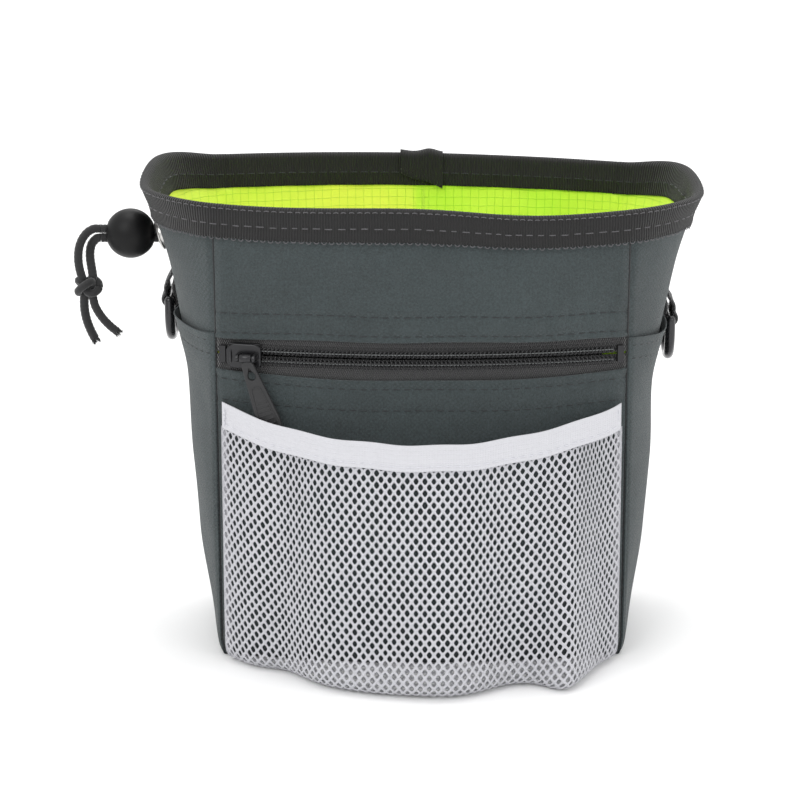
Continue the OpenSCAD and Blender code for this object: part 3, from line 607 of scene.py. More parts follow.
def cloth_panel(name, k, lo, hi, off, thick, nodes, open_top=False, open_low=False, cols=150, rows=90, soft=1.0,
                puff=None):
    """One cloth panel between two heights, which may be functions of t, with folded edges where it is open."""
    t = np.linspace(-1, 1, cols)[None, :]
    share = dense(0, 100, rows)[:, None] / 100
    low = lo(t) if callable(lo) else np.full_like(t, lo)
    high = hi(t) if callable(hi) else np.full_like(t, hi)
    z = low + (high - low) * share
    draw = np.zeros_like(z)
    if open_top:
        draw = np.maximum(draw, edge_round((high - z), thick / 2))
    if open_low:
        draw = np.maximum(draw, edge_round((z - low), thick / 2))
    lift = puff(t, z) if puff else 0
    outer = cloth(k, t, z, off - lift + draw * 0.98, soft)
    inner = cloth(k, t, z, off - lift + thick - draw * 0.98, soft)
    obj = sheet_mesh(name, outer, inner, uvs=cloth_uvs(outer))
    return finish_piece(obj, OXFORD, replaces=nodes)


def upper_edge(t):
    return ZIP_HI + 0.5 * (1 - t**2) + 0.25 * np.sin(t * 9)


def lower_edge(t):
    return ZIP_LO - 2.0 * (1 - t**2) ** 0.7 + 0.2 * np.sin(t * 7 + 1)


UPPER_ROWS, LOWER_ROWS = (2.2, 8.8), (3.2, 10.6)


def front_rows(edge, offsets, sign):
    def puff(t, z):
        out = 0
        for away in offsets:
            row = edge(t) + sign * away
            out = out - 0.32 * hump(z, row, 0.8) + 0.12 * hump(z, row, 3.0) * np.sin(t * 62)
        return out + 0.25 * hump(z, edge(t), 2.0)
    return puff


cloth_panel("upper_panel", FRONT, upper_edge, 159.0, 0, 1.0, ["front_panel_upper"], open_low=True,
            puff=front_rows(upper_edge, UPPER_ROWS, 1))
cloth_panel("lower_panel", FRONT, 0.0, lower_edge, 0, 1.0, ["front_panel_lower"], open_top=True,
            puff=front_rows(lower_edge, LOWER_ROWS, -1))
cloth_panel("gusset_left", LEFT, 0.0, 159.0, 0, 1.0, ["side_panel_left"], cols=110)
cloth_panel("gusset_right", RIGHT, 0.0, 159.0, 0, 1.0, ["side_panel_right"], cols=110)
cloth_panel("rear_panel", BACK, 0.0, 159.0, 0, 1.0, ["back_panel"])

SLIP_ROWS = (2.8, 7.4)


def slip_pocket(name, k, height, node):
    def top(t):
        return height - 1.5 * (1 - t**2) + 0.6 * np.sin(t * 5)

    def puff(t, z):
        gape = 1.5 * (1 - t**2) * smooth(height - 22, height, z)
        rows = sum(-0.3 * hump(z, top(t) - away, 0.7) for away in SLIP_ROWS)
        return gape + rows + 0.2 * hump(z, top(t), 1.5)
    cloth_panel(name, k, 0.0, top, -0.7, 0.6, [node], open_top=True, cols=110, puff=puff)
    for number, away in enumerate(SLIP_ROWS):
        t = np.linspace(-0.985, 0.985, 160)
        z = top(t) - away
        cloth_stitches(f"{name}_stitch_{number}", k, t, z, -0.7 - puff(t, z))


slip_pocket("slip_pocket_left", LEFT, SLIP_LEFT, "side_pocket_left")
slip_pocket("slip_pocket_right", RIGHT, SLIP_RIGHT, "side_pocket_right")


def front_stitches():
    t = np.linspace(-0.985, 0.985, 240)
    for name, edge, rows, sign in (("upper", upper_edge, UPPER_ROWS, 1), ("lower", lower_edge, LOWER_ROWS, -1)):
        puff = front_rows(edge, rows, sign)
        for number, away in enumerate(rows):
            z = edge(t) + sign * away
            cloth_stitches(f"{name}_stitch_{number}", FRONT, t, z, -puff(t, z))


front_stitches()


def seam_shadows():
    """Painted shade: a thin near-black tube down each corner, where the panels turn in."""
    z = np.linspace(2, 149, 120)
    for number, (k, t) in enumerate(((FRONT, -1), (FRONT, 1), (BACK, -1), (BACK, 1))):
        path = cloth(k, np.full_like(z, t), z, np.full_like(z, 0.12))
        finish_piece(tube_mesh(f"seam_{number}", path, 0.34, 8), SEAM_SHADE)


seam_shadows()


# ---- lining and throat
def around(z, off_of, cols=(110, 70, 110, 70), soft=1.0):
    """Rows of points round the whole bag: z is one column of heights, off_of(k, t, z) the inward offset."""
    sides = []
    for k, count in enumerate(cols):
        t = np.linspace(-1, 1, count + 1)[None, :-1]
        zz = np.broadcast_to(z[:, None], (len(z), count))
        tt = np.broadcast_to(t, zz.shape)
        sides.append(cloth(k, tt, zz, off_of(k, tt, zz), soft))
    return from_behind(sides, cols)


def behind_pocket(k, t, z):
    """Extra inward offset of the lining where the zip pocket hangs behind the front panel."""
    if k != FRONT:
        return np.zeros_like(z)
    return 3.85 * smooth(14, 30, z) * (1 - smooth(127, 143, z)) * np.clip((1 - np.abs(t)) * 10, 0, 1)


def lining_off(k, t, z):
    return 1.06 + behind_pocket(k, t, z) + 0.35 * (1 + ripple(t * 60, k * 40.0, z * 1.3)) * smooth(150, 138, z)


def make_lining():
    z = np.concatenate([np.linspace(1.4, 12, 14), np.linspace(14, 150, 80), np.linspace(151, 158.8, 6)])
    outer = around(z, lining_off)
    inner = around(z, lambda k, t, zz: lining_off(k, t, zz) + 0.3)
    obj = sheet_mesh("lining_walls", outer, inner, True, cloth_uvs(outer, True))
    finish_piece(obj, RIPSTOP, replaces=["lining"])
    cut_size(outer)
    rim = around(np.array([1.45]), lambda k, t, zz: zz * 0 + 1.2)[0]
    rings = np.stack([rim * (s, s, 1) for s in np.linspace(1.0, 0.02, 30)])
    rise = smooth(0, 6, np.linspace(0, 40, 30))[:, None]
    rings[..., 2] += 0.5 * (1 + ripple(rings[..., 0], 0, rings[..., 1])) * rise
    low = rings - (0, 0, 0.2)
    base = sheet_mesh("lining_base", rings, low, True, rings[..., :2])
    finish_piece(base, RIPSTOP)


def throat_off(k, t, z):
    folds = 0.9 + 0.9 * np.sin(t * (22 if k % 2 == 0 else 15) + k) + 0.5 * np.sin(t * 41 + z / 9)
    gathers = smooth(146, 122, z) * folds
    hem = 3.3 * hump(z, 117, 2.3)
    curl = 5.5 * hump(t, -0.45, 0.16) * hump(z, 145.5, 3.2) if k == RIGHT else 0
    return lining_off(k, t, z) + 0.42 + gathers + hem + curl


def make_throat():
    z = np.concatenate([np.linspace(113.5, 121, 16), np.linspace(122, 150, 32), np.linspace(151, 158.8, 6)])
    outer = around(z, throat_off)
    inner = around(z, lambda k, t, zz: throat_off(k, t, zz) + 0.3 + 0.0 * zz)
    obj = sheet_mesh("throat_collar", outer, inner, True, cloth_uvs(outer, True))
    finish_piece(obj, RIPSTOP, replaces=["throat"])
    cut_size(outer)


make_lining()
make_throat()


# ---- binding of the rim
FULL = (230, 150, 230, 150)


def ring_rows(offs, zs, cols=FULL, extra=None):
    """Rows of points round the bag, one for each pair of inward offset and height."""
    sides = []
    for k, count in enumerate(cols):
        t = np.linspace(-1, 1, count + 1)[None, :-1]
        z, off = np.broadcast_arrays(np.asarray(zs, float)[:, None] + 0 * t, np.asarray(offs, float)[:, None])
        t = np.broadcast_to(t, z.shape)
        sides.append(cloth(k, t, z, off + (extra(k, t, z) if extra else 0)))
    return from_behind(sides, cols)


def fold_profile(outside, inside, z_out, z_in, top, height=1.7, rows=12):
    """Offsets and heights of a tape's skin: up the outer leg, over the rim, down the inner leg."""
    mid, half = (inside - outside) / 2, (inside + outside) / 2
    a = np.linspace(0, math.pi, 13)
    up = np.linspace(z_out, top - height, rows)[:-1]
    down = np.linspace(top - height, z_in, rows)[1:]
    offs = np.concatenate([up * 0 - outside, mid - half * np.cos(a), down * 0 + inside])
    return offs, np.concatenate([up, top - height + height * np.sin(a), down])


def rim_shape(k, t, z):
    """The binding's legs: pinched at the stitches, flaring at the lower edge, with a kink at the right."""
    flare = -0.28 * smooth(153, 149, z) * (1 + 0.6 * np.sin(t * 23 + k * 2))
    pinch = 0.22 * hump(z, 153.4, 1.1)
    kink = 1.5 * hump(t, 0.12, 0.08) * smooth(158, 150, z) if k == RIGHT else 0
    return flare + pinch - kink


def make_binding():
    top = HEIGHT
    skin = fold_profile(0.86, 2.75, HEIGHT - BINDING_H, HEIGHT - BINDING_H, top)
    under = fold_profile(0.06, 1.95, HEIGHT - BINDING_H, HEIGHT - BINDING_H, top - BINDING_T, 1.1)
    outer = ring_rows(*skin, extra=rim_shape)
    inner = ring_rows(*under, extra=rim_shape)
    obj = sheet_mesh("binding", outer, inner, True, cloth_uvs(outer, True))
    finish_piece(obj, GROSGRAIN, replaces=["rim_binding"])


def rim_path(z, off, fine=2):
    cols = tuple(c * fine for c in FULL)
    path = ring_rows([off], [z], cols, rim_shape)[0]
    out = ring_rows([off - 1], [z], cols, rim_shape)[0] - path
    path, out = np.concatenate([path, path[:1]]), np.concatenate([out, out[:1]])
    out[:, 2] = 0
    return path, out / np.linalg.norm(out, axis=1)[:, None]


def binding_stitches():
    path, out = rim_path(153.4, -0.86)
    run = lengths(path[None], 1)[0]
    bits, at = [], 0.5
    while at + 5 < run[-1]:
        size = rng.uniform(2.4, 3.6)
        s = np.linspace(at, at + size, 6)
        mid = sample(path, run, s)
        mid[:, 2] += rng.uniform(-0.12, 0.12)
        lift = rng.uniform(-0.02, 0.12) - 0.42 * np.abs(np.linspace(-1, 1, 6)) ** 3
        bits.append((mid + sample(out, run, s) * lift[:, None], 0.21, 6))
        at += size + rng.uniform(0.7, 1.2)
    threads("binding_stitches", GREY_THREAD, bits)
    path, out = rim_path(153.4, 2.75)
    stitch_row("binding_stitches_inside", path, -out, DARK_THREAD)


def picots(name, z, off, drop, pitch, radius):
    """Tiny thread loops along an edge of the binding's outer leg."""
    path, out = rim_path(z, off)
    run = lengths(path[None], 1)[0]
    bits, at = [], 0.4
    angle = np.linspace(0, math.pi, 6)
    while at + pitch < run[-1]:
        s = at + 0.5 * pitch * (1 - np.cos(angle)) * 0.62
        mid = sample(path, run, s)
        mid[:, 2] -= drop * np.sin(angle) * rng.uniform(0.7, 1.1)
        bits.append((mid + sample(out, run, s) * 0.1, radius, 5))
        at += pitch * rng.uniform(0.94, 1.06)
    threads(name, GREY_THREAD, bits)


def make_lap():
    def rows(profile, t_half):
        offs, zs = profile
        t = np.linspace(-t_half, t_half, 30)[None, :]
        z, off = np.broadcast_arrays(zs[:, None] + 0 * t, offs[:, None])
        tt = np.broadcast_to(t, z.shape)
        inner_leg = smooth(1.5, 3, off) * smooth(156, 151, z)
        z = z + inner_leg * (2.2 * tt / t_half + 0.5) - 0.25 * np.sin(tt * 40)
        bump = 0.5 * hump(tt, -0.04, 0.04) * smooth(154, 159, z)
        return cloth(BACK, tt, z + bump, off)
    skin = fold_profile(1.75, 3.7, 149, 150.2, 160.85, 2.0)
    under = fold_profile(0.93, 2.82, 149, 150.2, 160.05, 1.5)
    outer, inner = rows(skin, 7.5 / HALF_W), rows(under, 7.5 / HALF_W)
    obj = sheet_mesh("lap", outer, inner, uvs=cloth_uvs(outer))
    finish_piece(obj, LAP_TAPE, replaces=["binding_lap"])
    for number, side in enumerate((-0.85, 0.85)):
        line = cloth(BACK, np.full(12, side * 7.5 / HALF_W), np.linspace(150, 158, 12), np.full(12, -1.8))
        stitch_row(f"lap_stitch_{number}", line, (0, 1, 0), DARK_THREAD, 2.2, 0.6, 0.18)


make_binding()
binding_stitches()
picots("lower_picots", HEIGHT - BINDING_H + 0.1, -0.75, 0.75, 2.6, 0.17)
picots("upper_picots", HEIGHT - 1.3, -0.82, -0.25, 2.6, 0.15)
make_lap()


# ---- mesh pocket
MESH_EDGE, BAND_H = 0.965, 9.0
CELL_W, CELL_H = 3.0, 4.0


def spread(t):
    return np.cos(math.pi / 2 * np.minimum(1, np.abs(t))) ** 0.8


def mouth_z(t):
    return 94 - 10 * np.maximum(0, 1 - t * t) ** 0.8


def forward(t, z, d):
    return wall(FRONT, t, z, 0.0) + np.stack([0 * d, -d, 0 * d], -1)


def mesh_columns(t):
    """Eight points of each column of the mesh: from the base seam over the floor and up to the band."""
    x = t * HALF_W
    low = 13 * hump(x, 50, 8.5) - 3.0 * hump(x, 29, 9) - 5.5 * hump(x, -47, 9) + 1.5 * hump(x, 11, 12)
    d = 1.3 + 31 * spread(t)
    g = 1 + 14 * spread(t) + 0.4 * np.sin(x / 8)
    top = mouth_z(t) - BAND_H + 0.6
    slack = 0.7 * np.sin(x / 6.5 + 0.5) * spread(t)
    one = np.ones_like(t)
    places = [(0 * one + 0.25, 0.1 * one), (0.3 * one, d * 0.45), (0.5 * one, (d + low) * 0.9), (4 * one, d + low),
              (14 * one, d * 0.985 + low * 0.85 + slack), (34 * one, d * 0.86 + g * 0.1 + low * 0.5 + slack),
              (56 * one, d * 0.5 + g * 0.46 + low * 0.15), (top, g)]
    return np.stack([forward(t, z if i > 2 else 0 * one, dd) + (np.stack([0 * one, 0 * one, z], -1) if i < 3 else 0)
                     for i, (z, dd) in enumerate(places)], 1)


def smooth_curve(points, count):
    """A Catmull-Rom curve through points [n, m, 3], as [n, count, 3] at even spacing of its parameter."""
    m = points.shape[1]
    padded = np.concatenate([2 * points[:, :1] - points[:, 1:2], points, 2 * points[:, -1:] - points[:, -2:-1]], 1)
    s = np.linspace(0, m - 1, count)
    i = np.minimum(s.astype(int), m - 2)
    f = (s - i)[None, :, None]
    p0, p1, p2, p3 = (padded[:, i + j] for j in range(4))
    square, cube = 2 * p0 - 5 * p1 + 4 * p2 - p3, 3 * p1 - p0 - 3 * p2 + p3
    return 0.5 * (2 * p1 + (p2 - p0) * f + square * f**2 + cube * f**3)


def mesh_surface():
    """Fine grid over the mesh pocket [columns, points down each column], its normals and its run downwards."""
    t = np.linspace(-MESH_EDGE, MESH_EDGE, 241)
    grid = smooth_curve(mesh_columns(t), 160)[:, ::-1]
    normal = np.cross(np.gradient(grid, axis=0), np.gradient(grid, axis=1))
    normal /= np.linalg.norm(normal, axis=-1, keepdims=True) + 1e-12
    if normal[120, 60, 1] > 0:
        normal = -normal
    return grid, normal, lengths(grid, 1)


def make_net():
    grid, normal, run = mesh_surface()
    across = lengths(grid, 0)[:, 70]
    cells_wide = int(round(across[-1] / CELL_W))
    pitch = across[-1] / cells_wide
    column = np.arange(len(across))

    def place(x, v, lift):
        """Points at x mm across and v mm below the band, raised off the surface by lift."""
        x, v = np.clip(x, 0, across[-1]), np.asarray(v, float)
        c = np.interp(x, across, column)
        i = np.minimum(c.astype(int), len(across) - 2)
        f = (c - i)[:, None]
        total = run[i, -1] * (1 - f[:, 0]) + run[i + 1, -1] * f[:, 0]
        s = np.clip(v, 0, total)
        at = np.empty(len(x))
        for n in range(len(x)):
            at[n] = np.interp(s[n], run[i[n]], np.arange(run.shape[1]))
        j = np.minimum(at.astype(int), run.shape[1] - 2)
        g = (at - j)[:, None]

        def pick(a):
            here = a[i, j] * (1 - g) + a[i, j + 1] * g
            return here * (1 - f) + (a[i + 1, j] * (1 - g) + a[i + 1, j + 1] * g) * f
        return pick(grid) + pick(normal) * np.asarray(lift)[:, None], v > total + 1.2

    ring = [(2, 0), (1, 1), (0, 2), (-1, 1), (-2, 0), (-1, -1), (0, -2), (1, -1)]
    keys, flat, lifts, cells = {}, [], [], []

    def corner_point(key):
        if key not in keys:
            keys[key] = len(flat)
            jitter = rng.normal(0, 0.05, 2)
            flat.append((key[0] * pitch / 4 + jitter[0], key[1] * CELL_H / 4 + jitter[1]))
            lifts.append(0.16)
        return keys[key]

    for half in (0, 1):
        for a in range(cells_wide + 1):
            for b in range(-1, int(run[:, -1].max() / CELL_H) + 2):
                cx, cy = 4 * a + 2 * half, 4 * b + 2 * half
                if cx > 4 * cells_wide or cy < 0:
                    continue
                outer = [corner_point((cx + p, cy + q)) for p, q in ring]
                size = 0.64 + 0.03 * rng.normal()
                inner = []
                for n, (p, q) in enumerate(ring):
                    reach = size * (0.90 if n % 2 == 0 else 1.12)
                    inner.append(len(flat))
                    flat.append(((cx + p * reach) * pitch / 4, (cy + q * reach) * CELL_H / 4))
                    lifts.append(0.0)
                cells.append((outer, inner))
    flat = np.array(flat)
    front, gone = place(flat[:, 0], flat[:, 1], np.array(lifts) + 0.28)
    back, _ = place(flat[:, 0], flat[:, 1], -np.array(lifts) + 0.06)
    n, faces = len(flat), []
    for outer, inner in cells:
        if any(gone[i] for i in outer + inner):
            continue
        for a in range(8):
            b = (a + 1) % 8
            faces.append((outer[a], outer[b], inner[b], inner[a]))
            faces.append((n + outer[b], n + outer[a], n + inner[a], n + inner[b]))
            faces.append((inner[a], inner[b], n + inner[b], n + inner[a]))
    obj = new_mesh("net", np.concatenate([front, back]), faces, np.concatenate([flat, flat]))
    finish_piece(obj, MESH, replaces=["mesh_pocket"])
    return grid, normal


def make_net_edges(grid, normal):
    """Folded, sewn margins of the net down both sides and along the base."""
    for name, line, inwards in (("left", grid[0], 1), ("right", grid[-1], -1)):
        side = np.stack([line + (inwards * a, -0.25, 0) for a in (-0.4, 0.6, 1.9)], 1)
        finish_piece(sheet_mesh(f"net_margin_{name}", side, side + (0, 0.35, 0), uvs=cloth_uvs(side)), MESH)
    base = grid[:, -1] + normal[:, -1] * 0.1 + (0, -0.2, 0.45)
    finish_piece(tube_mesh("net_base_hem", base[::2], 0.42, 8), MESH)


def make_band():
    t = np.linspace(-MESH_EDGE, MESH_EDGE, 260)[None, :]
    rows = dense(0, BAND_H, 20, 0.5)[:, None]
    z = mouth_z(t) - BAND_H + rows + 0.25 * np.sin(t * 19)
    g = 1.4 + 14 * spread(t) + 0.4 * np.sin(t * HALF_W / 8)
    lean = 0.9 * (1 - rows / BAND_H) ** 2
    ribs = 0.05 * np.cos(2 * math.pi * rows / 1.5)
    draw = np.maximum(edge_round(rows, 0.5), edge_round(BAND_H - rows, 0.5))
    outer = forward(t + 0 * z, z, g + lean - draw + ribs)
    inner = forward(t + 0 * z, z, g + lean - 1.0 + draw)
    obj = sheet_mesh("elastic_band", outer, inner, uvs=cloth_uvs(outer))
    finish_piece(obj, ELASTIC, replaces=["mesh_band"])
    row = int(np.argmin(np.abs(rows[:, 0] - 1.6)))
    stitch_row("band_stitch_0", outer[row], (0, -1, 0), WHITE_THREAD, 2.6, 0.6, 0.17)
    for side, t0 in (("left", -MESH_EDGE + 0.012), ("right", MESH_EDGE - 0.012)):
        zz = np.linspace(mouth_z(t0) - BAND_H + 0.8, mouth_z(t0) - 0.8, 14)
        path = forward(np.full(14, t0), zz, np.full(14, 1.5 + 14 * spread(t0) + 0.5))
        stitch_row(f"band_tack_{side}", path, (0, -1, 0), WHITE_THREAD, 1.6, 0.4, 0.2)


net_grid, net_normal = make_net()
make_net_edges(net_grid, net_normal)
make_band()


# ---- zip
def on_arc(x, off, z, turn=0.0):
    """Points along the front panel's arc at x across and off inwards, then turned about its centre."""
    x, off, z = np.broadcast_arrays(np.asarray(x, float), np.asarray(off, float), np.asarray(z, float))
    a, r = np.arcsin(x / FRONT_R) + turn, FRONT_R - off
    return np.stack([r * np.sin(a), FRONT_CY - r * np.cos(a), z], -1)


def arc_strip(name, x0, x1, z0, z1, front, back, material, nodes, cols=120, rows=12, wave=0.0):
    x = np.linspace(x0, x1, cols)[None, :]
    z = np.linspace(z0, z1, rows)[:, None]
    off = wave * np.sin(x / 5 + z)
    outer, inner = on_arc(x, front + off, z), on_arc(x, back + off, z)
    obj = sheet_mesh(name, outer, inner, uvs=cloth_uvs(outer))
    return finish_piece(obj, material, replaces=nodes)


def make_zip():
    for name, sign, node in (("lower", -1, "zip_tape_lower"), ("upper", 1, "zip_tape_upper")):
        z0, z1 = sorted((ZIP_Z + sign * 0.45, ZIP_Z + sign * 16))
        arc_strip(f"tape_{name}", -69.5, 69.5, z0, z1, 1.06, 1.5, ZIP_TAPE, [node])
    for name, sign, shift, node in (("lower", -1, 0, "zip_coil_lower"), ("upper", 1, 0.7, "zip_coil_upper")):
        pitch, per_turn = 1.4, 14
        turns = int(131.4 / pitch)
        a = np.arange(turns * per_turn) * 2 * math.pi / per_turn
        x = -65.7 + shift * 0.5 + a / (2 * math.pi) * pitch + 0.22 * np.sin(2 * a)
        z = ZIP_Z + sign * (1.58 + 0.95 * np.cos(a))
        path = on_arc(x, 0.25 + 0.48 * np.sin(a), z)
        coil = tube_mesh(f"coil_{name}", path, 0.30, 6)
        finish_piece(coil, ZIP_COIL, replaces=[node])
        core_x = np.linspace(-65.6, 65.6, 80)
        core = tube_mesh(f"coil_core_{name}", on_arc(core_x, 0.25, ZIP_Z + sign * 1.6), 0.42, 6)
        finish_piece(core, ZIP_COIL)
        x = np.linspace(-65, 65, 300)
        path = on_arc(x, -0.50, ZIP_Z + sign * 1.75)
        out = on_arc(x, -1.5, ZIP_Z + sign * 1.75) - path
        thread = 0.13 if sign > 0 else 0.10
        stitch_row(f"coil_thread_{name}", path, out, DOT_THREAD, 0.75, 0.35, thread, 0.06)
        path = on_arc(x, 1.0, ZIP_Z + sign * 3.6)
        stitch_row(f"tape_ridge_{name}", path, out, ZIP_COIL, 1.2, 0.3, 0.16, 0.02)


def plate_parts(outlines, thick, bevel):
    """Points and faces of a flat plate with rounded edges; outlines are closed (x, y) lists, holes too."""
    curve = bpy.data.curves.new("plate", "CURVE")
    curve.dimensions, curve.fill_mode = "2D", "BOTH"
    curve.extrude, curve.bevel_depth, curve.bevel_resolution, curve.offset = thick / 2 - bevel, bevel, 2, -bevel
    for outline in outlines:
        spline = curve.splines.new("POLY")
        spline.points.add(len(outline) - 1)
        spline.use_cyclic_u = True
        for point, (x, y) in zip(spline.points, outline):
            point.co = (x, y, 0, 1)
    obj = bpy.data.objects.new("plate", curve)
    bpy.context.scene.collection.objects.link(obj)
    mesh = obj.to_mesh()
    points = np.array([v.co[:] for v in mesh.vertices])
    faces = [tuple(p.vertices) for p in mesh.polygons]
    obj.to_mesh_clear()
    bpy.data.objects.remove(obj)
    bpy.data.curves.remove(curve)
    return points, faces


def disc(radius, count=32, at=(0, 0), x_size=1.0):
    a = np.arange(count) * 2 * math.pi / count
    return [(at[0] + radius * x_size * math.cos(b), at[1] + radius * math.sin(b)) for b in a]


def rounded(outline, radius, count=5):
    """A polygon with every corner rounded off."""
    pts, out = [np.array(p, float) for p in outline], []
    for i, p in enumerate(pts):
        a, b = pts[i - 1] - p, pts[(i + 1) % len(pts)] - p
        la, lb = np.linalg.norm(a), np.linalg.norm(b)
        cut = min(radius, la * 0.45, lb * 0.45)
        s, e = p + a / la * cut, p + b / lb * cut
        for w in np.linspace(0, 1, count):
            out.append(tuple((1 - w) ** 2 * s + 2 * w * (1 - w) * p + w * w * e))
    return out


class Parts:
    """Several shapes gathered into one mesh."""

    def __init__(self):
        self.points, self.faces, self.count = [], [], 0

    def add(self, points, faces, place=None):
        points = np.asarray(points, float)
        self.points.append(place(points) if place else points)
        self.faces += [tuple(i + self.count for i in f) for f in faces]
        self.count += len(points)
        return self

    def tube(self, path, radius, sides=16, closed=False, place=None):
        return self.add(*tube_parts(np.asarray(path, float), radius, sides, closed), place)

    def build(self, name, material, body="pouch", replaces=(), slot=None, angle=40):
        obj = new_mesh(name, np.concatenate(self.points), self.faces)
        obj.data.set_sharp_from_angle(angle=math.radians(angle))
        return finish_piece(obj, material, body, replaces)


SLIDER_TURN = -math.asin(59.5 / FRONT_R)
FRONT_Y = -HALF_D - BOW
LUG_X, PIN_Y, PULL_LEAN = 1.5, FRONT_Y - 4.45, math.radians(20)


def spin(p, angle):
    """Points turned about the third axis."""
    c, s = math.cos(angle), math.sin(angle)
    return np.stack([p[:, 0] * c - p[:, 1] * s, p[:, 0] * s + p[:, 1] * c, p[:, 2]], -1)


def turned(points):
    """From the slider as made at the middle of the zip to its place at the left end."""
    return spin(points - (0, FRONT_CY, 0), SLIDER_TURN) + (0, FRONT_CY, 0)


def facing(off):
    """Places a plate's x, y, z as across, up and outwards on the middle of the front at this offset."""
    return lambda p: turned(np.stack([p[:, 0], FRONT_Y + off - p[:, 2], ZIP_Z + p[:, 1]], -1))


def make_slider():
    half = [(-6, 2.6), (-3.6, 4.2), (4, 4.2), (6, 3.3)]
    outline = rounded([(-6, -2.6)] + half + [(6, -3.3), (4, -4.2), (-3.6, -4.2)], 0.9)
    parts = Parts()
    for off in (-1.45, 2.45):
        parts.add(*plate_parts([outline], 1.2, 0.38), facing(off))
    for side in (-1, 1):
        wall_line = rounded([(-5.2, -0.28), (5.4, -0.28), (5.4, 0.28), (-5.2, 0.28)], 0.2)
        parts.add(*plate_parts([wall_line], 1.8, 0.12), lambda p, s=side: facing(-0.15)(p + (0, 3.88 * s, 0)))
        lug = [(-1.3, -1.9)] + disc(1.3, 24, (0, -4.45))[12:] + [(1.3, -1.9)]
        lug = [(z, -off) for z, off in lug]

        def place(p, s=side):
            return turned(np.stack([LUG_X + 2.9 * s + p[:, 2], FRONT_Y - p[:, 1], ZIP_Z + p[:, 0]], -1))
        parts.add(*plate_parts([rounded(lug, 0.2, 3)], 1.2, 0.25), place)
    web = rounded([(-1.9, -0.28), (1.9, -0.28), (1.9, 0.28), (-1.9, 0.28)], 0.1)
    parts.add(*plate_parts([web], 3.1, 0.05), facing(0.5))
    pin = np.array([[-1.9, 0, 0], [4.9, 0, 0]]) + (0, PIN_Y, ZIP_Z)
    parts.tube(pin, 0.65, 20, place=turned)
    a = np.linspace(0, math.pi, 9)
    ridge = np.stack([-4.4 + 0 * a, FRONT_Y - 1.7 - 0.55 * np.sin(a), ZIP_Z - 2.2 * np.cos(a)], -1)
    parts.tube(ridge, 0.42, 8, place=turned)
    parts.build("slider", SLIDER_METAL, "zip_slider", ["zip_slider"], "zip_metal")


def leaning(points):
    """From a pull hanging straight down at the middle of the zip to its lean on the slider."""
    p = spin(points, PULL_LEAN)
    return turned(np.stack([LUG_X + p[:, 0], PIN_Y - p[:, 2], ZIP_Z + p[:, 1]], -1))


def make_pull():
    outline = rounded([(-2.1, -0.9), (1.8, -0.9), (3.0, -11), (4.25, -23), (3.7, -27.6), (2.2, -28.9),
                       (-2.2, -28.9), (-3.7, -27.6), (-4.25, -23), (-3.0, -11)], 1.5)
    tear = [(1.35 * math.sin(a), -6.4 - 1.35 * math.cos(a)) for a in np.linspace(-2.1, 2.1, 22)] + [(0, -3.5)]
    parts = Parts()
    parts.add(*plate_parts([outline, tear], 1.6, 0.42), leaning)
    rim = np.array([(x * 0.80, y * 0.62 - 9.9, 0) for x, y in outline])
    for out in (-0.78, 0.78):
        parts.tube(rim + (0, 0, out), 0.28, 8, True, place=leaning)
    for down in np.arange(-16, -25, -1.5):
        half = 2.0 + (-down - 16) * 0.07
        for out in (-0.74, 0.74):
            ridge = [(x, down, out) for x in (-half, -half / 3, half / 3, half)]
            parts.tube(ridge, 0.26, 8, place=leaning)
    parts.build("pull_tab", PULL_RUBBER, "zip_pull", ["zip_pull_tab"], "pull")
    knuckle = Parts()
    a = np.linspace(0, 2 * math.pi, 29)[:-1]
    for x, r in ((-2, 1.25), (-1.75, 1.45), (1.75, 1.45), (2, 1.25), (2, 0.75), (-2, 0.75)):
        ring = np.stack([LUG_X + x + 0 * a, PIN_Y + r * np.cos(a), ZIP_Z + r * np.sin(a)], -1)
        knuckle.points.append(turned(ring))
    for ring in range(6):
        for i in range(28):
            j = (i + 1) % 28
            here, then = ring * 28, ((ring + 1) % 6) * 28
            knuckle.faces.append((here + i, here + j, then + j, then + i))
    knuckle.build("pull_knuckle", SLIDER_METAL, "zip_pull")


make_zip()
make_slider()
make_pull()


# ---- eyelet, drawstring and cord lock
BALL = np.array([-100.627, 0.0, 143.0])
CORD_R = 1.5
EYELET_MID = EYELET_Z - 0.3


def braided(line, run, radius, sides, depth, closed=False):
    """A tube along a line of points, with strands crossing over each other round its skin."""
    verts, faces = tube_parts(line, radius, sides, closed)
    angle = np.tile(np.arange(sides) * 2 * math.pi / sides, len(line))
    along, centre = np.repeat(run, sides), np.repeat(line, sides, axis=0)
    bumps = np.sin(4 * angle + along * 2.2) * np.sin(4 * angle - along * 2.2)
    return centre + (verts - centre) * (1 + depth * bumps)[:, None], faces


def braid(path):
    """A braided cord along a smooth curve through a path of points."""
    curve = smooth_curve(np.asarray(path, float)[None], 12 * len(path))[0]
    run = lengths(curve[None], 1)[0]
    s = np.arange(0, run[-1], 0.45)
    return braided(sample(curve, run, s), s, CORD_R, 16, 0.075)


def eyelet_frame():
    """Centre and outward normal of the eyelet on the left gusset."""
    h = HEIGHT
    slope = (SWELL + 5 * (RIM_BULGE - BASE_BULGE - SWELL) * (EYELET_MID / h) ** 4) / h
    tilt = math.atan(slope)
    centre = np.array([-HALF_W - float(bulge(EYELET_MID)), 0, EYELET_MID])
    return centre, np.array([-math.cos(tilt), 0, -math.sin(tilt)])


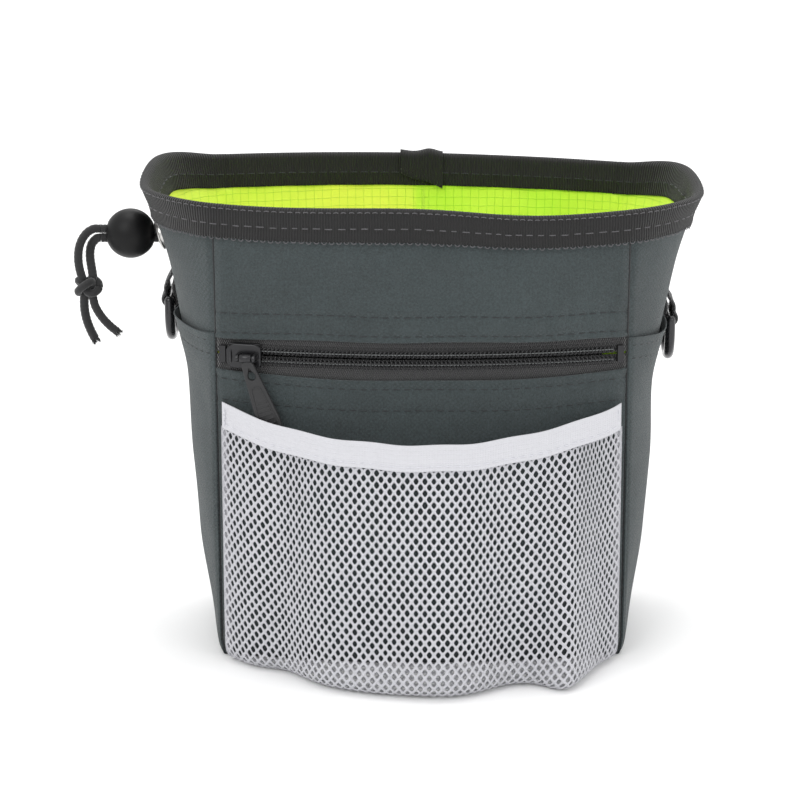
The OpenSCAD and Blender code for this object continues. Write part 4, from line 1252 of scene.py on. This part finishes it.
def turned_ring(profile, centre, axis, count=48):
    """A closed profile of (radius, height) pairs spun about an axis, as points and faces."""
    side = np.cross(axis, [0.1, 0.2, 1.0])
    side /= np.linalg.norm(side)
    up = np.cross(axis, side)
    points, faces, n = [], [], len(profile)
    for i in range(count):
        a = 2 * math.pi * i / count
        spoke = side * math.cos(a) + up * math.sin(a)
        points += [centre + spoke * r + axis * h for r, h in profile]
    for i in range(count):
        j = (i + 1) % count
        for k in range(n):
            m = (k + 1) % n
            faces.append((i * n + k, j * n + k, j * n + m, i * n + m))
    return np.array(points), faces


def make_eyelet():
    centre, out = eyelet_frame()
    roll = [(5.45, 0.20), (5.3, 0.62), (4.7, 0.98), (4.2, 0.98), (3.95, 0.72), (3.92, -2.9), (4.35, -2.9),
            (4.38, 0.12)]
    back = [(4.48, -2.85), (5.45, -2.78), (5.5, -2.55), (5.2, -2.35), (4.48, -2.35)]
    for name, profile, node in (("eyelet", roll, "eyelet_face"), ("eyelet_back", back, "eyelet_washer")):
        parts = Parts().add(*turned_ring(profile, centre, out))
        parts.build(name, NICKEL, replaces=[node], slot="eyelet_metal")


def hem_point(k, t, z=117.0):
    """The drawstring's place inside the throat's hem."""
    t = np.asarray(t, float)
    return wall(k, t, z + 0 * t, 1.05 + behind_pocket(k, t, z + 0 * t) + 2.25)


def make_drawstring():
    gusset = HALF_W + float(bulge(EYELET_Z))
    strand = CORD_R + 0.075

    def drop(side, z):
        inside = [(-4.8, 0, z), (4.2, 0, z), (8.2, 1.2, z - 1.2), (10.2, 2.4, z - 4), (11, 3.2, z - 9),
                  (12.2, 3.6, 126), (13, 4.4, 121), (12.8, 6.2, 118.2)]
        return [[BALL[0] - 10.2, 0, z]] + [[x - gusset, side * y, h] for x, y, h in inside]
    t = 2 * (np.arange(12) + 0.5) / 12 - 1
    t6 = 2 * (np.arange(6) + 0.5) / 6 - 1
    route = np.concatenate([drop(-1, EYELET_Z + strand), hem_point(LEFT, t6[3:] + 0.15), hem_point(FRONT, t),
                            hem_point(RIGHT, t), hem_point(BACK, t), hem_point(LEFT, t6[:3] - 0.15),
                            drop(1, EYELET_Z - strand)[::-1]])
    root = new_mesh("drawstring_root", *braid(route))
    finish_piece(root, CORD, replaces=["drawstring_cord"])


STRAND_A = [(-111, 0, 144.6), (-112, -0.05, 144.6), (-113.4, -0.4, 144.6), (-115.6, -1.2, 143.4),
            (-117.4, -2.2, 141), (-118.4, -3, 138), (-118.6, -3.8, 134.6), (-118.2, -4.4, 131.4),
            (-117.4, -4.8, 128.4)]
STRAND_B = [(-111, 0, 141.4), (-111.8, 0.05, 141.4), (-112.8, 0.4, 140.8), (-114.2, 0.4, 139.2),
            (-114.8, -0.2, 137), (-114.8, -1.2, 134.6), (-114.4, -2.2, 132.2), (-114, -3.2, 130.2),
            (-113.8, -4, 128.2)]
TAIL_A = [(-114.2, -5, 122.4), (-113, -5.8, 118.4), (-110.8, -6.6, 114.8), (-108, -7.2, 111.8),
          (-105.2, -7.6, 109.6)]
TAIL_B = [(-116.6, -4.4, 122.4), (-117, -4.2, 118), (-116.4, -4.4, 113.6), (-115, -4.8, 109.6),
          (-113.4, -5.2, 106.4)]
KNOT = np.array([-115.6, -4.6, 125.2])


def fray(name, end, ahead):
    """Fibres standing out of a cut and singed cord end."""
    ahead = np.asarray(ahead, float) / np.linalg.norm(ahead)
    side = np.cross(ahead, [0.2, 1.0, 0.3])
    side /= np.linalg.norm(side)
    up = np.cross(ahead, side)
    parts = Parts()
    for _ in range(26):
        a, r = rng.uniform(0, 2 * math.pi), 1.25 * math.sqrt(rng.uniform(0.05, 1))
        spoke = side * math.cos(a) + up * math.sin(a)
        start, reach = np.asarray(end) + spoke * r - ahead * 0.6, rng.uniform(0.7, 1.9)
        middle = start + ahead * reach * 0.6 + spoke * 0.08
        point = start + ahead * (0.5 + reach) + spoke * 0.4
        parts.tube([start, middle, point], np.array([0.16, 0.13, 0.07]), 5)
    return parts.build(name, CORD, "cord_lock", angle=80)


def make_free_cords():
    knot = Parts()
    a = np.linspace(0, 2 * math.pi, 90)[:-1]
    ring = 2.05 + np.cos(3 * a)
    turns = np.stack([ring * np.cos(2 * a) * 1.32, ring * np.sin(2 * a), np.sin(3 * a) * 2.1], -1) + KNOT
    knot.add(*braided(turns, lengths(turns[None], 1)[0], 1.38, 14, 0.06, True))
    knot_obj = knot.build("drawstring_knot", CORD, "cord_lock", ["drawstring_ends"], "cord", 80)
    for name, strand, tail in (("a", STRAND_A, TAIL_A), ("b", STRAND_B, TAIL_B)):
        mid = [tuple(KNOT + (-1.2 if name == "a" else 1.0, 0.3, 0.4))]
        route = np.array(strand + mid + tail, float)
        cord = finish_piece(new_mesh(f"drawstring_{name}", *braid(route)), CORD, "cord_lock")
        tuft = fray(f"fray_{name}", tail[-1], np.subtract(tail[-1], tail[-2]))
        [tuft] + ([knot_obj] if name == "a" else [])


def weld(mesh):
    """Joins points that meet and turns every face outwards."""
    work = bmesh.new()
    work.from_mesh(mesh)
    bmesh.ops.remove_doubles(work, verts=work.verts, dist=1e-6)
    bmesh.ops.recalc_face_normals(work, faces=work.faces)
    work.to_mesh(mesh)
    work.free()


def applied(obj, cutters=(), bevel=0.0):
    """obj with cutters taken out of it and its sharp edges rounded, as plain mesh data."""
    weld(obj.data)
    for cutter in cutters:
        weld(cutter.data)
        mod = obj.modifiers.new("cut", "BOOLEAN")
        mod.operation, mod.object, mod.solver = "DIFFERENCE", cutter, "EXACT"
    if bevel:
        mod = obj.modifiers.new("round", "BEVEL")
        mod.width, mod.segments, mod.limit_method, mod.angle_limit = bevel * MM, 2, "ANGLE", math.radians(35)
    bpy.context.view_layer.update()
    mesh = bpy.data.meshes.new_from_object(obj.evaluated_get(bpy.context.evaluated_depsgraph_get()))
    obj.modifiers.clear()
    obj.data = mesh
    for cutter in cutters:
        bpy.data.objects.remove(cutter)
    obj.data.set_sharp_from_angle(angle=math.radians(40))
    return obj


def spun(name, profile, centre, axis, count=64):
    """A solid turned from (radius, height) pairs that start and end on the axis."""
    inner = [p for p in profile if p[0] > 1e-6]
    points, faces = turned_ring(inner, centre, axis, count)
    n, faces = len(inner), [f for f in faces if abs(f[0] % len(inner) - f[3] % len(inner)) == 1]
    ends = [centre + axis * profile[0][1], centre + axis * profile[-1][1]]
    points = np.concatenate([points, ends])
    low, high = len(points) - 2, len(points) - 1
    for i in range(count):
        j = (i + 1) % count
        faces.append((i * n, low, j * n))
        faces.append((j * n + n - 1, high, i * n + n - 1))
    return new_mesh(name, points, faces)


def slot_cutter(name, front, back):
    """The gap that both strands run through, along X."""
    half = CORD_R + 0.075 + 1.65
    line = rounded([(-front, -half), (back, -half), (back, half), (-front, half)], 1.2)
    points, faces = plate_parts([line], 24, 0.05)
    return new_mesh(name, np.stack([points[:, 2], points[:, 0], points[:, 1]], -1) + BALL, faces)


def make_cord_lock():
    y, ball_r = np.array([0, 1.0, 0]), 8.6
    a = np.linspace(-math.pi / 2, math.pi / 2, 41)
    ball = spun("ball", [(ball_r * math.cos(b), ball_r * math.sin(b)) for b in a], BALL, y, 72)
    bore = tube_mesh("bore", [BALL + (0, -6.2, 0), BALL + (0, 14, 0)], 4.9, 48)
    ball = applied(ball, [bore, slot_cutter("slot", 1.65, 1.65)], 0.35)
    finish_piece(ball, LOCK_PLASTIC, "cord_lock", ["cord_lock_shell"])
    seam = BALL + ball_r * np.stack([np.sin(a * 2), 0 * a, np.cos(a * 2)], -1)[:-1]
    seam = np.array([p for p in seam if abs(p[2] - BALL[2]) > 3.6])
    for number, sign in enumerate((-1, 1)):
        half = np.array(sorted([p for p in seam if (p[2] - BALL[2]) * sign > 0], key=lambda p: p[0]))
        finish_piece(tube_mesh(f"ball_seam_{number}", half, 0.09, 6), LOCK_PLASTIC, "cord_lock")
    top = [(0, -3.4), (4.5, -3.4), (4.8, -3.1), (4.8, 9.6), (4.6, 10.3), (4.1, 10.8), (3.4, 11.0), (2.9, 10.8),
           (0, 10.75)]
    button = spun("button", top, BALL, y, 56)
    cup = tube_mesh("cup", [BALL + (0, -5, 0), BALL + (0, -2.2, 0)], 3.2, 40)
    button = applied(button, [cup, slot_cutter("gate", 1.65, 4.15)], 0.2)
    finish_piece(button, LOCK_PLASTIC, "lock_button", ["cord_lock_button"])


make_eyelet()
make_drawstring()
make_free_cords()
make_cord_lock()


# ---- webbing: ring tabs and belt loop
def gusset_x(y, z):
    b = bulge(z)
    r = (HALF_D**2 + b**2) / (2 * b)
    return HALF_W + b - r + np.sqrt(r**2 - y**2)


def ribbon(name, path, across, thick, material, body="pouch", nodes=(), cols=24, sag=0.0):
    """A webbing strip along a path of centre points, with the full-width vectors across it."""
    path, across = np.asarray(path, float), np.asarray(across, float)
    s = np.linspace(-0.5, 0.5, cols)[None, :, None]
    ahead = np.gradient(path, axis=0)
    normal = np.cross(ahead, across)
    normal /= np.linalg.norm(normal, axis=1)[:, None] + 1e-12
    edge = 1 - np.clip((np.abs(s) - 0.46) / 0.04, 0, 1) ** 2 * 0.7
    half = thick / 2 * edge
    mid = path[:, None] + across[:, None] * s + normal[:, None] * sag * (1 - 4 * s**2)
    outer, inner = mid + normal[:, None] * half, mid - normal[:, None] * half
    obj = sheet_mesh(name, outer, inner, uvs=cloth_uvs(mid))
    return finish_piece(obj, material, body, nodes)


def ring_tab(name, side, z, node):
    """Webbing from the rim seam down the gusset, round the ring's bar and back up to its sewn end."""
    y0, half = 17.0, 7.7
    bar_x = float(gusset_x(y0, z)) + 7.6
    loop_r = 1.8 + 0.1 + 0.6

    def skin(h):
        return float(gusset_x(y0, h)) + 0.2
    a = np.linspace(0, 2 * math.pi, 40)[4:-4]
    curl = [(bar_x + loop_r * math.sin(b), z + loop_r * math.cos(b)) for b in a]
    back = [(skin(146) + 0.6, 146), (skin(141) + 0.6, 141), (skin(136) + 0.65, 136), (skin(131) + 1.1, 131),
            (bar_x - 2.4, z + 9.5), (bar_x - 1.3, z + 5.0)]
    front = [(bar_x + 1.4, z + 5.0), (bar_x - 0.9, z + 9.5), (skin(131) + 2.5, 131), (skin(136) + 1.95, 136),
             (skin(141) + 1.85, 141), (skin(145.5) + 1.85, 145.5)]
    line = np.array(back + curl[::-1] + front)
    line = smooth_curve(np.array([(x * side, y0, h) for x, h in line])[None], 220)[0]
    across = np.tile([0, 2 * half, 0], (len(line), 1))
    ribbon(name, line, across, 1.15, WEBBING, nodes=[node], sag=0.15)
    for number, (ya, yb, za, zb) in enumerate(((9.9, 24.1, 144.6, 144.6), (9.9, 24.1, 137.4, 137.4),
                                               (9.9, 24.1, 137.8, 144.2), (24.1, 9.9, 137.8, 144.2))):
        y, zz = np.linspace(ya, yb, 30), np.linspace(za, zb, 30)
        x = (np.array([skin(h) for h in zz]) + 2.44) * side
        path = np.stack([x, y, zz], -1)
        stitch_row(f"{name}_stitch_{number}", path, (side, 0, 0), DARK_THREAD, 1.9, 0.5, 0.2)


def make_belt_loop():
    front, wide = HALF_D + BOW + 0.05, 38.0
    lo, hi, foot = 84.0, 130.0, 8.0
    strap = front + 6 + 0.7
    line = [(front + 0.7, lo - foot), (front + 0.7, lo - 4), (front + 0.75, lo - 1.2), (front + 3, lo + 0.6),
            (strap - 0.8, lo + 3.0), (strap, lo + 6), (strap, 100), (strap, 107), (strap, 114), (strap, hi - 6),
            (strap - 0.8, hi - 3.0), (front + 3, hi - 0.6), (front + 0.75, hi + 1.2), (front + 0.7, hi + 4),
            (front + 0.7, hi + foot)]
    path = smooth_curve(np.array([(0, y, z) for y, z in line])[None], 200)[0]
    ribbon("belt_strap", path, np.tile([wide, 0, 0], (200, 1)), 1.35, WEBBING, nodes=["belt_loop"], cols=60)
    for number, (z0, z1) in enumerate(((lo - 7, lo - 1.8), (hi + 1.8, hi + 7))):
        corners = [(-17.5, z0), (17.5, z0), (17.5, z1), (-17.5, z1), (-17.5, z0), (17.5, z1)]
        path = np.concatenate([np.linspace(a, b, 30)[:-1] for a, b in zip(corners, corners[1:])])
        path = np.stack([path[:, 0], np.full(len(path), front + 1.38), path[:, 1]], -1)
        stitch_row(f"belt_stitch_{number}", path, (0, 1, 0), DARK_THREAD, 2.0, 0.6, 0.22)


# ---- base and zip pocket bag
def make_base():
    rim_low = around(np.array([0.0]), lambda k, t, z: z * 0 + 0.95, soft=0)[0]
    rim_high = around(np.array([1.2]), lambda k, t, z: z * 0 + 0.95, soft=0)[0]
    shares = np.linspace(1.0, 0.01, 36)
    low = np.stack([rim_low * (s, s, 1) for s in shares])
    high = np.stack([rim_high * (s, s, 1) for s in shares])
    low[..., 2] = 0.25 * smooth(0.99, 0.9, shares)[:, None] * (1 + ripple(low[..., 0], 0, low[..., 1]))
    obj = sheet_mesh("base_cloth", low, high, True, low[..., :2])
    finish_piece(obj, OXFORD, replaces=["bottom_panel"])


def make_zip_bag():
    x = np.linspace(-61.9, 61.9, 90)[None, :]
    for name, z0, z1, off, node in (("back", 32.0, 127.0, 4.45, ["zip_pocket_bag"]), ("front", 32.0, 95.2, 1.75, [])):
        z = np.linspace(z0, z1, 50)[:, None]
        edge = np.clip((61.9 - np.abs(x)) / 9, 0, 1) * np.clip((z - 32) / 9, 0, 1)
        lean = (off - 3.1) * edge + 0.10 * np.sin(x / 6) * np.cos(z / 7)
        outer, inner = on_arc(x, 3.1 + lean, z), on_arc(x, 3.1 + lean + 0.22, z)
        obj = sheet_mesh(f"zip_bag_{name}", outer, inner, uvs=cloth_uvs(outer))
        finish_piece(obj, ZIP_TAPE, replaces=node)


def make_clip_bend():
    x = np.linspace(-11, 11, 12)[None, :]
    a = np.linspace(0, math.pi, 40)[:, None]
    skins = [np.stack(np.broadcast_arrays(x, 54.7 - r * np.cos(a), 128 + r * np.sin(a)), -1) for r in (3.7, 2.5)]
    bend = sheet_mesh("clip_bend", *skins)
    bend.data.materials.append(SPRING_STEEL)
    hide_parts("belt_clip_bend")
    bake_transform(bend)


def make_spring():
    (_, low, _), (_, high, _) = [[v / MM for v in end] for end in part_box("cord_lock_spring")]
    wire = 0.25
    s = np.linspace(0, 1, 180)
    a = 2 * math.pi * 2.5 * s
    rise = low + wire + (high - low - 2 * wire) * s
    path = np.stack([BALL[0] + 2.5 * np.cos(a), rise, BALL[2] + 2.5 * np.sin(a)], -1)
    spring = finish_piece(tube_mesh("lock_spring", path, wire, 10), SPRING_STEEL, "cord_lock", ["cord_lock_spring"])
    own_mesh(spring)


ring_tab("tab_left", -1, 117.0, "ring_tab_left")
ring_tab("tab_right", 1, 110.0, "ring_tab_right")
make_belt_loop()
make_base()
make_zip_bag()
make_clip_bend()
make_spring()


# ---- finish
CAD_LOOKS = {"zip_stops": SLIDER_METAL, "d_ring_left": RING_METAL, "d_ring_right": RING_METAL,
             "belt_clip_plate": SPRING_STEEL, "belt_clip_tongue": SPRING_STEEL,
             "clip_rivets": SPRING_STEEL}
for cad_name, cad_look in CAD_LOOKS.items():
    cad_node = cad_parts[cad_name]
    cad_node.data.materials.clear()
    cad_node.data.materials.append(cad_look)
